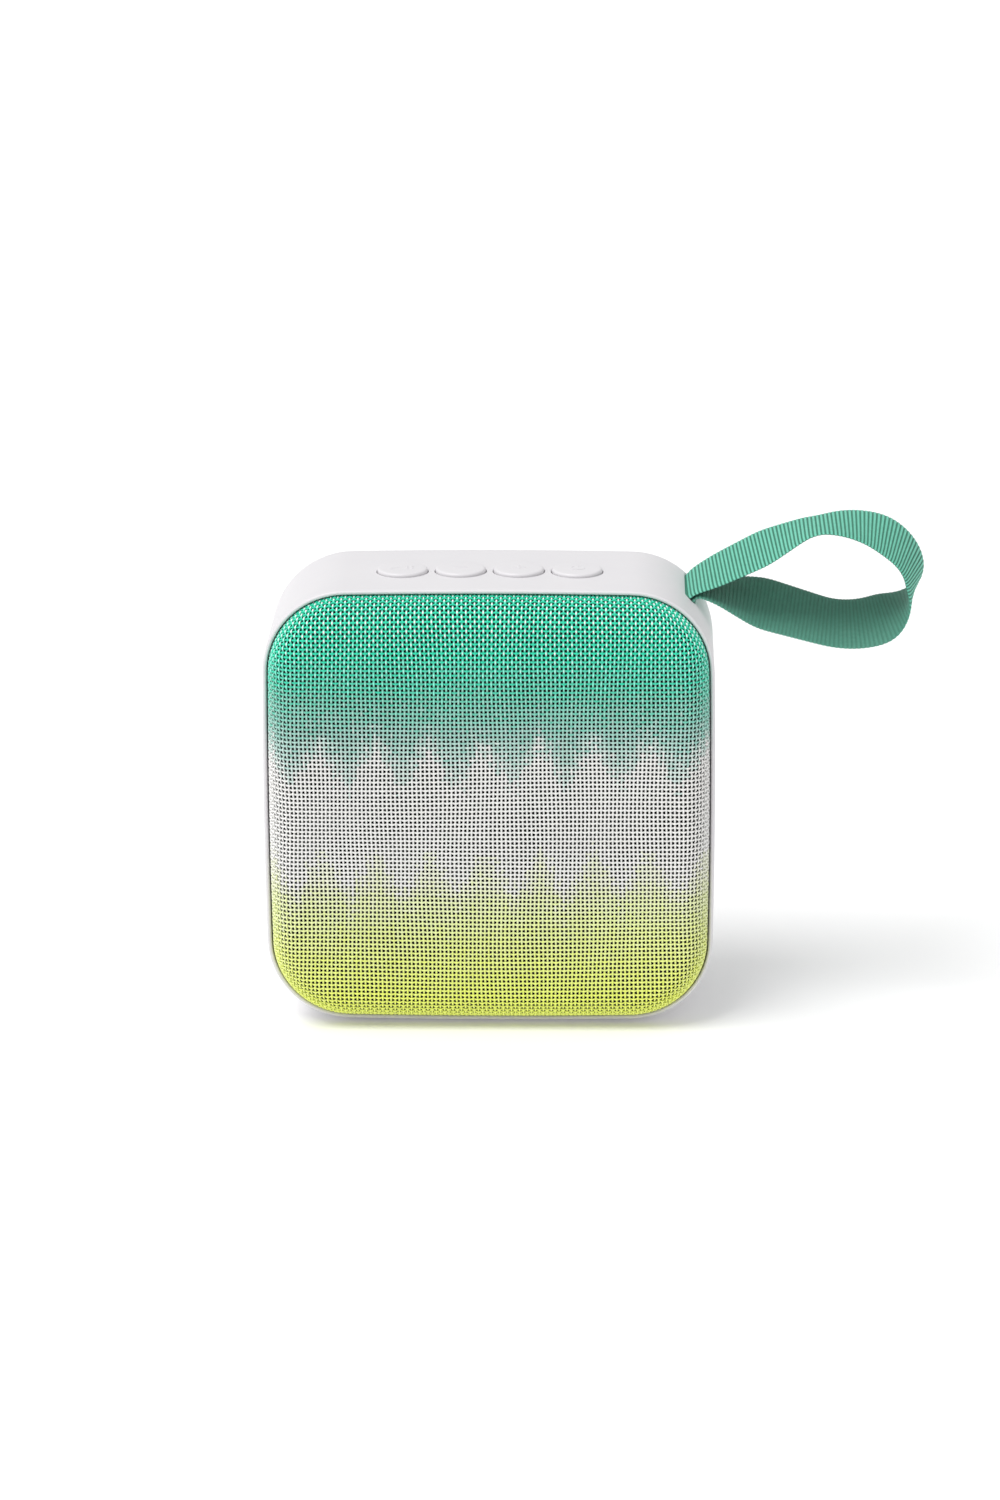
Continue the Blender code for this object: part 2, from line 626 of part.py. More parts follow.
def on_board(name, size, y, z, made_of, edge=0.0, outer=False):
    """A component soldered to the main board's inner face, or to its outer face."""
    gap = BOARD_THICKNESS / 2 + REST_GAP + size[0] / 2
    return box(name, size, (MAIN_BOARD_X + (gap if outer else -gap), y, z), made_of, edge)


def sockets():
    """What the back opens on to: headphone input, charging socket, card slot, status lamp and microphone."""
    rear = INNER_BACK - 0.3 * MM
    aux_z, aux_x = PORTS["aux"]
    depth = 11 * MM
    jack = on_board("aux_jack", (5.2 * MM, depth, 6.4 * MM), rear - depth / 2, aux_z, BLACK_PLASTIC, 0.3 * MM)
    nose = rod("aux_nose", 2.8 * MM, 3 * MM, (aux_x, rear + 0.5 * MM, aux_z), "Y")
    bore = rod("aux_bore", 1.8 * MM, 20 * MM, (aux_x, rear - 1 * MM, aux_z), "Y")
    join(jack, nose)
    cut(jack, bore)

    usb_z, usb_x = PORTS["usb"]
    depth = 7.3 * MM
    usb = on_board("charge_socket", (3.3 * MM, depth, 9 * MM), rear - depth / 2, usb_z, STAMPED_STEEL, 1 * MM)
    mouth = box("charge_mouth", (2.5 * MM, 12 * MM, 8.2 * MM), (usb_x, rear + 0.5 * MM, usb_z), edge=0.9 * MM)
    tongue = box("charge_tongue", (0.7 * MM, 4.8 * MM, 6.6 * MM), (usb_x, rear - 4 * MM, usb_z))
    cut(usb, mouth)
    join(usb, tongue)

    card_z, card_x = PORTS["card"]
    depth = 14 * MM
    card = on_board("card_socket", (1.8 * MM, depth, 14 * MM), rear - depth / 2, card_z, STAMPED_STEEL)
    cut(card, box("card_mouth", (0.9 * MM, 24 * MM, 11.4 * MM), (card_x, rear, card_z)))

    led_z, led_x = PORTS["led"]
    on_board("status_led", (1.6 * MM, 1.6 * MM, 1.2 * MM), 18.6 * MM, led_z, CLEAR)
    pipe = [
        (0, 0), (0.9 * MM, 0), (0.9 * MM, -WALL - 0.2 * MM), (1.6 * MM, -WALL - 0.2 * MM),
        (1.6 * MM, -WALL - 1.4 * MM), (0, -WALL - 1.4 * MM),
    ]
    back_facing = turned("led_light_pipe", pipe, (led_x, SHELL_BACK, led_z), "Z", CLEAR, steps=20)
    back_facing.rotation_euler = (-math.pi / 2, 0, 0)

    mic_z, mic_x = PORTS["microphone"]
    on_board("microphone", (3.4 * MM, 2.4 * MM, 4 * MM), 19.2 * MM, mic_z, STAMPED_STEEL, 0.3 * MM)


def chips():
    on_board("bluetooth_chip", (0.9 * MM, 6 * MM, 6 * MM), 9 * MM, 52 * MM, CHIP, outer=True)
    on_board("amplifier_chip", (1.4 * MM, 4 * MM, 5 * MM), 9 * MM, 40 * MM, CHIP, outer=True)


CELL_RADIUS, CELL_LENGTH = 9.15 * MM, 65 * MM
CELL = (0, 10 * MM, 13.7 * MM)


def battery():
    """One 18650 cell lying along the bottom, with a nickel tab on each end."""
    half = CELL_LENGTH / 2
    profile = [
        (0, half), (2.8 * MM, half), (2.8 * MM, half - 0.8 * MM),
        (CELL_RADIUS - 0.6 * MM, half - 0.8 * MM), (CELL_RADIUS, half - 1.4 * MM),
        (CELL_RADIUS, -half + 0.5 * MM), (CELL_RADIUS - 0.5 * MM, -half), (0, -half),
    ]
    turned("battery_cell", profile, CELL, "X", CELL_WRAP, steps=28)
    for side, mirror in (("positive", 1), ("negative", -1)):
        place = (mirror * (half + 0.25 * MM), CELL[1], CELL[2] + 2 * MM)
        box(f"battery_tab_{side}", (0.3 * MM, 5 * MM, 10 * MM), place, STAMPED_STEEL)


def wiring():
    """Leads from the driver and the cell to the main board, and the flat cable between the two boards."""
    radius = 0.6 * MM
    inner = BOARD_INNER - 0.7 * MM
    for name, mirror, z, colour in (("red", 1, 68 * MM, RED_WIRE), ("black", -1, 65.5 * MM, BLACK_WIRE)):
        start = Vector((mirror * 2.5 * MM, DRIVER_Y + 4.6 * MM, MIDDLE + 21 * MM))
        height, depth = (72 + mirror) * MM, (7 + 2 * mirror) * MM
        rise, bend = ((6 + 3 * mirror) * MM, depth, height), (18 * MM, depth - 1 * MM, height)
        end = (inner, (2.5 + mirror) * MM, z)
        wire(f"driver_lead_{name}", [start, rise, bend, end], radius, colour)
    low = 24.2 * MM
    start = Vector((CELL_LENGTH / 2 + 1.2 * MM, CELL[1], CELL[2] + 6 * MM))
    path = [start, (34.6 * MM, 6 * MM, low), (31.4 * MM, 6 * MM, low + 3 * MM)]
    wire("battery_lead_red", path, radius, RED_WIRE)
    start = Vector((-CELL_LENGTH / 2 - 1.2 * MM, CELL[1], CELL[2] + 6 * MM))
    path = [
        start, (-34.5 * MM, 2 * MM, low), (-25 * MM, -2.6 * MM, low - 1 * MM), (0, -2.8 * MM, 21.2 * MM),
        (23 * MM, -2.6 * MM, low - 1 * MM), (26 * MM, 6 * MM, low + 0.6 * MM), (inner, 7 * MM, low + 2 * MM),
    ]
    wire("battery_lead_black", path, radius, BLACK_WIRE)
    flat = [(22 * MM, 76.6 * MM), (27.2 * MM, 76.6 * MM), (28.8 * MM, 75 * MM), (28.8 * MM, 70 * MM)]
    flat_cable("board_cable", flat, 8.8 * MM, 4.5 * MM, 0.4 * MM)


def flat_cable(name, path, y, width, thickness):
    """A flat ribbon along a path of (x, z) points, made as a thin outline and drawn out sideways."""
    near = [Vector(point) for point in path]
    far = []
    for i, point in enumerate(near):
        before, after = near[max(i - 1, 0)], near[min(i + 1, len(near) - 1)]
        along = (after - before).normalized()
        far.append(point + Vector((-along.y, along.x)) * thickness)
    outline = [tuple(point) for point in near] + [tuple(point) for point in reversed(far)]
    plate(name, [outline], y - width / 2, width, CHIP, middle=(0, 0))


# ---- strap ----
STRAP_PIVOT = SLOT + OUTWARD * 1.6 * MM
LOOP_CENTRE = Vector((29.9 * MM, 0.8 * MM))  # (x, z) of the round end's centre from the pivot
LOOP_HALF_LENGTH = 13 * MM  # of the round end
LOOP_HALF_HEIGHT = 10.3 * MM
LOOP_TILT = math.radians(22)  # the lower run's back edge stands higher than its front edge
RUN_POINTS = 5
ARC_POINTS = 22


def loop_tilt(u):
    """How far the webbing is twisted, a fraction u of the way round the loop from the top of the slot."""
    turned_in = min(max((u - 0.4) / 0.2, 0), 1)
    turned_out = min(max((0.98 - u) / 0.16, 0), 1)
    return LOOP_TILT * (3 - 2 * turned_in) * turned_in**2 * (3 - 2 * turned_out) * turned_out**2


def strap_centreline():
    """A teardrop in (x, z) from the pivot: two straight runs from the slot that touch the round end."""
    tip = Vector((-LOOP_CENTRE.x / LOOP_HALF_LENGTH, -LOOP_CENTRE.y / LOOP_HALF_HEIGHT))
    facing = math.atan2(tip.y, tip.x) % (2 * math.pi)
    spread = math.acos(1 / tip.length)
    start, sweep = facing - spread, 2 * math.pi - 2 * spread
    arc = []
    for i in range(ARC_POINTS):
        turn = start - sweep * i / (ARC_POINTS - 1)
        offset = Vector((LOOP_HALF_LENGTH * math.cos(turn), LOOP_HALF_HEIGHT * math.sin(turn)))
        arc.append(LOOP_CENTRE + offset)
    upper, lower = Vector((0, 0.6 * STRAP_PLY)), Vector((0, -0.6 * STRAP_PLY))
    out = [upper.lerp(arc[0], i / RUN_POINTS) for i in range(RUN_POINTS)]
    back = [arc[-1].lerp(lower, (i + 1) / RUN_POINTS) for i in range(RUN_POINTS)]
    return out + arc + back


def strap_loop():
    """The webbing outside the shell, as one closed band that turns at the slot's mouth."""
    curve = bpy.data.curves.new("strap_loop", "CURVE")
    curve.dimensions = "3D"
    curve.twist_mode = "Z_UP"
    curve.extrude = STRAP_WIDTH / 2 - STRAP_PLY / 2
    curve.bevel_depth = STRAP_PLY / 2
    curve.bevel_resolution = 0
    spline = curve.splines.new("POLY")
    points = strap_centreline()
    spline.points.add(len(points) - 1)
    for i, (point, (x, z)) in enumerate(zip(spline.points, points)):
        point.co = (x, z, 0, 1)
        point.tilt = -loop_tilt(i / (len(points) - 1))
    spline.use_cyclic_u = True
    loop = add("strap_loop", curve, WEBBING, STRAP_PIVOT)
    loop.rotation_euler = AXIS_TURNS["Y"]


def strap_tail():
    """The same webbing's two ends inside the shell, sewn together, and the bar that keeps them there."""
    length = 6 * MM
    centre = SLOT - OUTWARD * (length / 2 + 0.2 * MM)
    box("strap_tail", (length, STRAP_WIDTH, 2 * STRAP_PLY), centre, WEBBING, turn=-STRAP_ANGLE)
    bar_centre = SLOT - OUTWARD * (length + 1.9 * MM)
    rod("strap_stop_bar", 1.5 * MM, STRAP_WIDTH + 3 * MM, bar_centre, "Y", STAMPED_STEEL, sides=12)


rear_shell()
foot_pad()
front_baffle()
grille_frame()
grille_fabric()
case_screws()
driver_basket()
driver_gasket()
driver_screws()
driver_motor()
driver_surround()
driver_spider()
cone_assembly()
driver_terminal()
buttons()
button_board()
main_board()
sockets()
chips()
battery()
wiring()
strap_loop()
strap_tail()
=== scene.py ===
"""The looks of a pocket Bluetooth speaker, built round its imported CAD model.

Shell, buttons, woven grille cloth, wrist strap and foot are new pieces that stand for their CAD solids.
Everything inside the casing is the CAD's own solid with a finish of its own.
Lengths are metres, +Z is up and the front faces -Y.
"""

import json
import math

import bmesh
import bpy
import numpy as np
from mathutils import Matrix, Vector


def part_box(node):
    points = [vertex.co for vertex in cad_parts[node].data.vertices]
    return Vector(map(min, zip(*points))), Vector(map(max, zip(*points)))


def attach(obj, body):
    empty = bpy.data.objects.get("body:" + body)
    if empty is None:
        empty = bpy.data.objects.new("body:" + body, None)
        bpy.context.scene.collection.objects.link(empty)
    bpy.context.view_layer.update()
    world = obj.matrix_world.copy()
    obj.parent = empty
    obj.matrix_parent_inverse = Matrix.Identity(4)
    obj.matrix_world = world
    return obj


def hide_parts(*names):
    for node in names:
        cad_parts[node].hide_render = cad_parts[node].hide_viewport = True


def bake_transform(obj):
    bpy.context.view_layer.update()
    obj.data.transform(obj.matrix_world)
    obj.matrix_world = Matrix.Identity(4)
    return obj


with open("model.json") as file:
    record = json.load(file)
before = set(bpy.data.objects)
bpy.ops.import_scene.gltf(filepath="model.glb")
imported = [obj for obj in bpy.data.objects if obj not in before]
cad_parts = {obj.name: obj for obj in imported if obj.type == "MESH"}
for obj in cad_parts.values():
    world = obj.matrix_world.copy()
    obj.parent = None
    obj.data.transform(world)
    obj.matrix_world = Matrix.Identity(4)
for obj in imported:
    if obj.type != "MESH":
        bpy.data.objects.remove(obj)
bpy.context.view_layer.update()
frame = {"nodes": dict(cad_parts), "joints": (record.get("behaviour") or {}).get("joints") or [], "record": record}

MM = 0.001
SMOOTH_BELOW = 35  # degrees: sharper edges stay sharp
UP = Vector((0, 0, 1))
BACKWARDS = Vector((0, 1, 0))
ACROSS = Vector((1, 0, 0))

# ---- places taken from the frame ----
SLOT_INSET = 1.6 * MM  # from the strap's pivot in to the shell's surface
JOINTS = {joint["name"]: joint for joint in frame["joints"]}
shell_low, shell_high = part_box("rear_shell")
HALF = (shell_high.x - shell_low.x) / 2
MIDDLE = (shell_high.z + shell_low.z) / 2
FRONT, BACK = shell_low.y, shell_high.y
BOTTOM = shell_low.z
CLOTH_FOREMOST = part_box("grille_fabric")[0].y
BAFFLE_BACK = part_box("front_baffle")[1].y
PIVOT = Vector(JOINTS["strap_swing"]["pos_m"])
tail_low, tail_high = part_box("strap_tail")
TAIL = (tail_low + tail_high) / 2
OUTWARD = (PIVOT - TAIL).normalized()  # out of the shell at the strap's slot
SLOT = PIVOT - OUTWARD * SLOT_INSET
STRAP_Y = PIVOT.y
STRAP_WIDTH = tail_high.y - tail_low.y
BUTTONS = ("play", "volume_down", "volume_up", "power")

# ---- the shell's form ----
CORNER_RADIUS = 16 * MM
SIDE_RISE = 0.25 * MM  # each side bows out this much between its corners
SIDE_CHORD = 27 * MM  # over this half length
SIDE_RADIUS = (SIDE_CHORD**2 + SIDE_RISE**2) / (2 * SIDE_RISE)
BACK_RADIUS = 10 * MM
WALL = 2 * MM
LIP = 0.8 * MM
REBATE_DEPTH = 3 * MM
CAP_RADIUS = 4.8 * MM
CAP_PROUD = 0.7 * MM
CAP_GAP = 0.16 * MM  # all round, in the shell's hole
HOLE_RIM = 0.22 * MM
FLANGE = 0.5 * MM  # how far a cap's flange reaches past its rim
FLANGE_TOP, FLANGE_UNDER = -WALL - 0.4 * MM, -WALL - 1.1 * MM
STEM_RADIUS = 1.5 * MM
MARK_STROKE = 0.42 * MM  # width of the marks on the caps
MARK_SUNK, MARK_PROUD = 0.3 * MM, 0.05 * MM
SLOT_ROOM = 0.6 * MM  # the slot is this much longer than the webbing is wide
SLOT_HEIGHT, SLOT_RIM = 2.3 * MM, 0.5 * MM
PORT_RIM, SMALL_PORT_RIM = 0.35 * MM, 0.15 * MM
CLEARANCE = 0.1 * MM  # between parts that meet inside the casing


# ---- mesh tools ----
def link(name, mesh, *materials):
    obj = bpy.data.objects.new(name, mesh)
    bpy.context.scene.collection.objects.link(obj)
    for one in materials:
        mesh.materials.append(one)
    return obj


def finish_mesh(work, name, sharp=SMOOTH_BELOW):
    """A bmesh as a mesh with its faces out, smooth but for edges sharper than an angle in degrees."""
    bmesh.ops.recalc_face_normals(work, faces=work.faces)
    mesh = bpy.data.meshes.new(name)
    work.to_mesh(mesh)
    work.free()
    mesh.shade_smooth()
    mesh.set_sharp_from_angle(angle=math.radians(sharp))
    return mesh


def loft(name, rings, sharp=SMOOTH_BELOW):
    """A closed body through rings of points, all with the same count, and capped at both ends."""
    work = bmesh.new()
    rows = [[work.verts.new(point) for point in ring] for ring in rings]
    for first, second in zip(rows, rows[1:]):
        for i, vert in enumerate(first):
            work.faces.new((vert, first[i - 1], second[i - 1], second[i]))
    work.faces.new(rows[0])
    work.faces.new(reversed(rows[-1]))
    return finish_mesh(work, name, sharp)


def turned(name, profile, centre, axis=UP, steps=64, sharp=SMOOTH_BELOW):
    """A profile of (radius, height) points turned round an axis through centre.
    It starts and ends on the axis."""
    turn = axis.to_track_quat("Z", "Y").to_matrix()
    work = bmesh.new()
    tip = work.verts.new(centre + turn @ Vector((0, 0, profile[0][1])))
    rows = []
    for radius, height in profile[1:-1]:
        points = circle(radius, steps)
        rows.append([work.verts.new(centre + turn @ Vector((u, v, height))) for u, v in points])
    end = work.verts.new(centre + turn @ Vector((0, 0, profile[-1][1])))
    for i in range(steps):
        work.faces.new((tip, rows[0][i - 1], rows[0][i]))
        work.faces.new((end, rows[-1][i], rows[-1][i - 1]))
    for first, second in zip(rows, rows[1:]):
        for i in range(steps):
            work.faces.new((first[i], first[i - 1], second[i - 1], second[i]))
    return finish_mesh(work, name, sharp)


def circle(radius, steps):
    turns = [2 * math.pi * i / steps for i in range(steps)]
    return [(radius * math.cos(t), radius * math.sin(t)) for t in turns]


def rounded_rectangle(width, height, radius, grow=0.0, arc=6):
    """Points of a rectangle with round corners, let out all round by grow."""
    points = []
    for quarter in range(4):
        start = quarter * math.pi / 2
        u = (width / 2 - radius) * (1 if quarter in (0, 3) else -1)
        v = (height / 2 - radius) * (1 if quarter in (0, 1) else -1)
        for i in range(arc + 1):
            t = start + i * math.pi / 2 / arc
            points.append((u + (radius + grow) * math.cos(t), v + (radius + grow) * math.sin(t)))
    return points


def mouth_cutter(outline, centre, axis, across, rim, depth):
    """A cutter for a hole whose mouth is rounded by rim. outline(grow) gives its (across, up) points."""
    side = axis.cross(across).normalized()
    steps = 5
    levels = [(0, -depth), (0, -rim)]
    for i in range(1, steps + 1):
        t = math.radians(82) * i / steps
        levels.append((rim * (1 - math.cos(t)), rim * (math.sin(t) - 1)))
    levels.append((levels[-1][0] + rim, 2 * rim))
    rings = []
    for grow, height in levels:
        rings.append([centre + across * u + side * v + axis * height for u, v in outline(grow)])
    return link("cutter", loft("cutter", rings))


def combine(obj, others, operation):
    """Cuts others out of obj, or joins them to it, and leaves no modifier behind."""
    for other in others:
        step = obj.modifiers.new(operation.lower(), "BOOLEAN")
        step.operation = operation
        step.object = other
        step.solver = "EXACT"
    bpy.context.view_layer.update()
    evaluated = obj.evaluated_get(bpy.context.evaluated_depsgraph_get())
    mesh = bpy.data.meshes.new_from_object(evaluated)
    obj.modifiers.clear()
    obj.data = mesh
    for other in others:
        bpy.data.objects.remove(other)
    mesh.shade_smooth()
    mesh.set_sharp_from_angle(angle=math.radians(SMOOTH_BELOW))
    return obj


def even_normals(obj):
    """Keeps flat and gently curved faces looking so beside small round edges."""
    step = obj.modifiers.new("even normals", "WEIGHTED_NORMAL")
    step.keep_sharp = True
    step.weight = 80


def arc(first, last, steps):
    return [first + (last - first) * i / steps for i in range(steps + 1)]


# ---- node tools ----
class Finish:
    """A Principled material under construction."""

    def __init__(self, name, colour, roughness, metallic=0.0, **inputs):
        self.material = bpy.data.materials.new(name)
        self.material.use_nodes = True
        self.tree = self.material.node_tree
        self.surface = self.tree.nodes["Principled BSDF"]
        self.set("Base Color", (*colour, 1))
        self.set("Roughness", roughness)
        self.set("Metallic", metallic)
        for key, value in inputs.items():
            self.set(key.replace("_", " "), value)

    def set(self, key, value):
        self.surface.inputs[key].default_value = value

    def node(self, kind, **settings):
        made = self.tree.nodes.new(kind)
        for key, value in settings.items():
            setattr(made, key, value)
        return made

    def feed(self, source, target):
        self.tree.links.new(source, target)

    def place(self, stretch=(1, 1, 1)):
        """Object coordinates, stretched along an axis by a factor below 1."""
        place = self.node("ShaderNodeTexCoord").outputs["Object"]
        mapping = self.node("ShaderNodeMapping")
        mapping.inputs["Scale"].default_value = stretch
        self.feed(place, mapping.inputs["Vector"])
        return mapping.outputs["Vector"]

    def noise(self, size, detail=3.0, stretch=(1, 1, 1)):
        """Cloudy values from 0 to 1 with features of about a size in metres."""
        made = self.node("ShaderNodeTexNoise")
        made.inputs["Scale"].default_value = 1 / size
        made.inputs["Detail"].default_value = detail
        self.feed(self.place(stretch), made.inputs["Vector"])
        return made.outputs["Fac"]

    def cells(self, size):
        """Pits of a size in metres."""
        made = self.node("ShaderNodeTexVoronoi")
        made.inputs["Scale"].default_value = 1 / size
        self.feed(self.place(), made.inputs["Vector"])
        return made.outputs["Distance"]

    def bands(self, size, direction):
        """Stripes of a pitch in metres along an axis."""
        made = self.node("ShaderNodeTexWave", bands_direction=direction)
        made.inputs["Scale"].default_value = math.pi / 10 / size
        self.feed(self.place(), made.inputs["Vector"])
        return made.outputs["Fac"]

    def between(self, factor, low, high):
        made = self.node("ShaderNodeMapRange")
        made.inputs["To Min"].default_value = low
        made.inputs["To Max"].default_value = high
        self.feed(factor, made.inputs["Value"])
        return made.outputs["Result"]

    def vary(self, key, factor, low, high):
        self.feed(self.between(factor, low, high), self.surface.inputs[key])

    def colours(self, factor, first, second):
        made = self.node("ShaderNodeMix", data_type="RGBA")
        made.inputs["A"].default_value = (*first, 1)
        made.inputs["B"].default_value = (*second, 1)
        self.feed(factor, made.inputs["Factor"])
        self.feed(made.outputs["Result"], self.surface.inputs["Base Color"])

    def relief(self, height, depth):
        """Bumps of a depth in metres."""
        made = self.node("ShaderNodeBump")
        made.inputs["Distance"].default_value = depth
        self.feed(height, made.inputs["Height"])
        before = self.surface.inputs["Normal"]
        if before.is_linked:
            self.feed(before.links[0].from_socket, made.inputs["Normal"])
        self.feed(made.outputs["Normal"], before)


def linear(red, green, blue):
    """A screen colour from 0 to 255 as the linear values that shaders take."""
    values = [value / 255 for value in (red, green, blue)]
    return tuple(v / 12.92 if v <= 0.04045 else ((v + 0.055) / 1.055) ** 2.4 for v in values)


# ---- finishes ----
def white_plastic():
    """Satin moulded plastic: a fine spark-eroded grain, with slow drifts of tone and gloss."""
    made = Finish("white_plastic", linear(224, 222, 225), 0.42, IOR=1.5)
    drift = made.noise(9 * MM, 2)
    made.colours(drift, linear(223, 221, 224), linear(227, 225, 227))
    made.vary("Roughness", made.noise(1.5 * MM, 4), 0.36, 0.5)
    made.relief(made.noise(0.16 * MM, 2), 0.006 * MM)
    return made.material


def moulded(name, dark, light, gloss, grain=0.2 * MM, relief=0.008 * MM):
    """Moulded plastic or epoxy with a fine grain."""
    made = Finish(name, light, gloss)
    made.colours(made.noise(4 * MM), dark, light)
    made.vary("Roughness", made.noise(0.8 * MM), gloss - 0.08, gloss + 0.08)
    made.relief(made.noise(grain), relief)
    return made.material


def rubber():
    """Matte rubber with fine pores and a little dust in them."""
    made = Finish("rubber", (0.03, 0.03, 0.032), 0.8)
    made.colours(made.noise(2.5 * MM, 5), (0.02, 0.02, 0.022), (0.05, 0.05, 0.052))
    made.vary("Roughness", made.noise(0.5 * MM), 0.68, 0.92)
    made.relief(made.cells(0.25 * MM), 0.015 * MM)
    return made.material


def foam():
    """Open-cell foam."""
    made = Finish("foam", (0.05, 0.05, 0.05), 0.95)
    pores = made.cells(0.3 * MM)
    # painted shade: darker in the pores, where shade falls
    made.colours(pores, (0.015, 0.015, 0.015), (0.08, 0.08, 0.08))
    made.relief(pores, 0.08 * MM)
    return made.material


def plated_steel():
    """Stamped and zinc-plated sheet: fine rolling lines one way and a cloudy spangle."""
    made = Finish("plated_steel", (0.6, 0.6, 0.62), 0.32, 1.0)
    made.colours(made.noise(3 * MM, 4), (0.48, 0.49, 0.52), (0.7, 0.7, 0.7))
    made.vary("Roughness", made.noise(0.5 * MM, 4, (1, 1, 0.08)), 0.2, 0.45)
    made.relief(made.noise(0.3 * MM, 3, (1, 1, 0.06)), 0.004 * MM)
    return made.material


def ferrite():
    """Sintered ferrite: dark, chalky and slightly speckled."""
    made = Finish("ferrite", (0.035, 0.035, 0.04), 0.65)
    made.colours(made.noise(0.4 * MM, 6), (0.02, 0.02, 0.022), (0.08, 0.08, 0.085))
    made.vary("Roughness", made.noise(1 * MM), 0.5, 0.8)
    made.relief(made.noise(0.12 * MM), 0.01 * MM)
    return made.material


def cone_paper():
    """Pressed pulp with loose fibres."""
    made = Finish("cone_paper", (0.03, 0.03, 0.03), 0.9)
    fibres = made.noise(0.25 * MM, 6, (1, 1, 0.2))
    made.colours(fibres, (0.015, 0.015, 0.016), (0.06, 0.06, 0.058))
    made.relief(fibres, 0.03 * MM)
    return made.material


def copper():
    """Enamelled wire, wound in close turns round the driver's axis."""
    made = Finish("copper", (0.72, 0.35, 0.18), 0.28, 1.0)
    windings = made.bands(0.2 * MM, "Y")
    # painted shade: the colour darkens in the gaps between turns, where shade falls
    made.colours(windings, (0.35, 0.12, 0.05), (0.8, 0.42, 0.2))
    made.relief(windings, 0.04 * MM)
    return made.material


def circuit_board():
    """Solder mask over copper tracks, which stand a little proud and show lighter."""
    made = Finish("circuit_board", (0.02, 0.16, 0.07), 0.35)
    tracks = made.node("ShaderNodeTexBrick")
    tracks.inputs["Scale"].default_value = 1 / (2.4 * MM)
    tracks.inputs["Mortar Size"].default_value = 0.07
    made.feed(made.place((0.3, 1, 1)), tracks.inputs["Vector"])
    made.colours(tracks.outputs["Fac"], (0.012, 0.11, 0.05), (0.03, 0.22, 0.1))
    made.vary("Roughness", made.noise(1.2 * MM), 0.28, 0.42)
    made.relief(tracks.outputs["Fac"], 0.03 * MM)
    return made.material


def cell_wrap():
    """Shrink wrap drawn tight, with faint creases round the cell."""
    made = Finish("cell_wrap", (0.05, 0.25, 0.55), 0.3)
    made.colours(made.noise(6 * MM), (0.03, 0.2, 0.48), (0.06, 0.29, 0.6))
    made.vary("Roughness", made.noise(1 * MM), 0.22, 0.4)
    made.relief(made.noise(1.5 * MM, 2, (0.1, 1, 1)), 0.02 * MM)
    return made.material


def light_pipe():
    """Clear plastic, lightly frosted."""
    made = Finish("light_pipe", (0.85, 0.88, 0.9), 0.25, IOR=1.49)
    made.colours(made.noise(0.5 * MM), (0.8, 0.84, 0.86), (0.92, 0.94, 0.95))
    made.vary("Roughness", made.noise(0.2 * MM), 0.15, 0.35)
    return made.material


def wire_sleeve(name, dark, light):
    """Soft insulation with a faint spiral from the stranded wire under it."""
    made = Finish(name, light, 0.45)
    made.colours(made.noise(3 * MM), dark, light)
    made.vary("Roughness", made.noise(0.6 * MM), 0.38, 0.55)
    made.relief(made.noise(0.4 * MM, 2), 0.02 * MM)
    return made.material


WARP_THREAD = 0.42 * MM


def webbing(name, colour):
    """Grosgrain in one of the strap's colours, some of which carry painted shade: fine warp threads run along the
    strap over its ribs.
    """
    made = Finish(name, colour, 0.62)
    made.set("Sheen Weight", 0.15)
    made.set("Sheen Roughness", 0.45)
    made.set("Sheen Tint", (*linear(190, 255, 235), 1))
    across = made.node("ShaderNodeAttribute", attribute_name="across").outputs["Fac"]
    turns = made.node("ShaderNodeMath", operation="MULTIPLY")
    turns.inputs[1].default_value = math.pi / WARP_THREAD
    made.feed(across, turns.inputs[0])
    wave = made.node("ShaderNodeMath", operation="SINE")
    made.feed(turns.outputs[0], wave.inputs[0])
    threads = made.node("ShaderNodeMath", operation="ABSOLUTE")
    made.feed(wave.outputs[0], threads.inputs[0])
    fibres = made.noise(0.12 * MM, 4)
    darker = tuple(0.86 * value for value in colour)
    lighter = tuple(1.12 * value for value in colour)
    made.colours(made.noise(1.2 * MM, 4), darker, lighter)
    made.relief(threads.outputs[0], 0.05 * MM)
    made.relief(fibres, 0.03 * MM)
    made.vary("Roughness", fibres, 0.5, 0.75)
    return made.material


def shade_backing():
    """A black sheet behind the yarns, painted shade that keeps the gaps in the weave dark, with a fine knit."""
    made = Finish("shade_backing", (0.012, 0.012, 0.013), 0.85)
    made.colours(made.noise(0.3 * MM), (0.006, 0.006, 0.007), (0.02, 0.02, 0.021))
    made.relief(made.cells(0.2 * MM), 0.02 * MM)
    return made.material


# ---- the shell's outline ----
def corner_centre():
    """How far out along x and z a corner's arc centre lies, so that the arc runs into both sides' arcs."""
    reach = SIDE_RADIUS - HALF
    joined = SIDE_RADIUS - CORNER_RADIUS
    return (math.sqrt(2 * joined**2 - reach**2) - reach) / 2


CORNER = corner_centre()
SIDE_TURN = math.atan2(CORNER, CORNER + SIDE_RADIUS - HALF)  # half the angle that one side's arc spans


def outline(inset, side_steps=24, corner_steps=18):
    """The shell's (x, z) outline about its middle, drawn in by inset: four long arcs and four corners."""
    quarter = []
    for i in range(side_steps):
        t = -SIDE_TURN + 2 * SIDE_TURN * i / side_steps
        radius = SIDE_RADIUS - inset
        quarter.append((HALF - SIDE_RADIUS + radius * math.cos(t), radius * math.sin(t)))
    for i in range(corner_steps):
        t = SIDE_TURN + (math.pi / 2 - 2 * SIDE_TURN) * i / corner_steps
        radius = CORNER_RADIUS - inset
        quarter.append((CORNER + radius * math.cos(t), CORNER + radius * math.sin(t)))
    points = []
    for turn in range(4):
        for x, z in quarter:
            for _ in range(turn):
                x, z = -z, x
            points.append((x, z))
    return points


def shell_ring(inset, y):
    return [Vector((x, y, MIDDLE + z)) for x, z in outline(inset)]


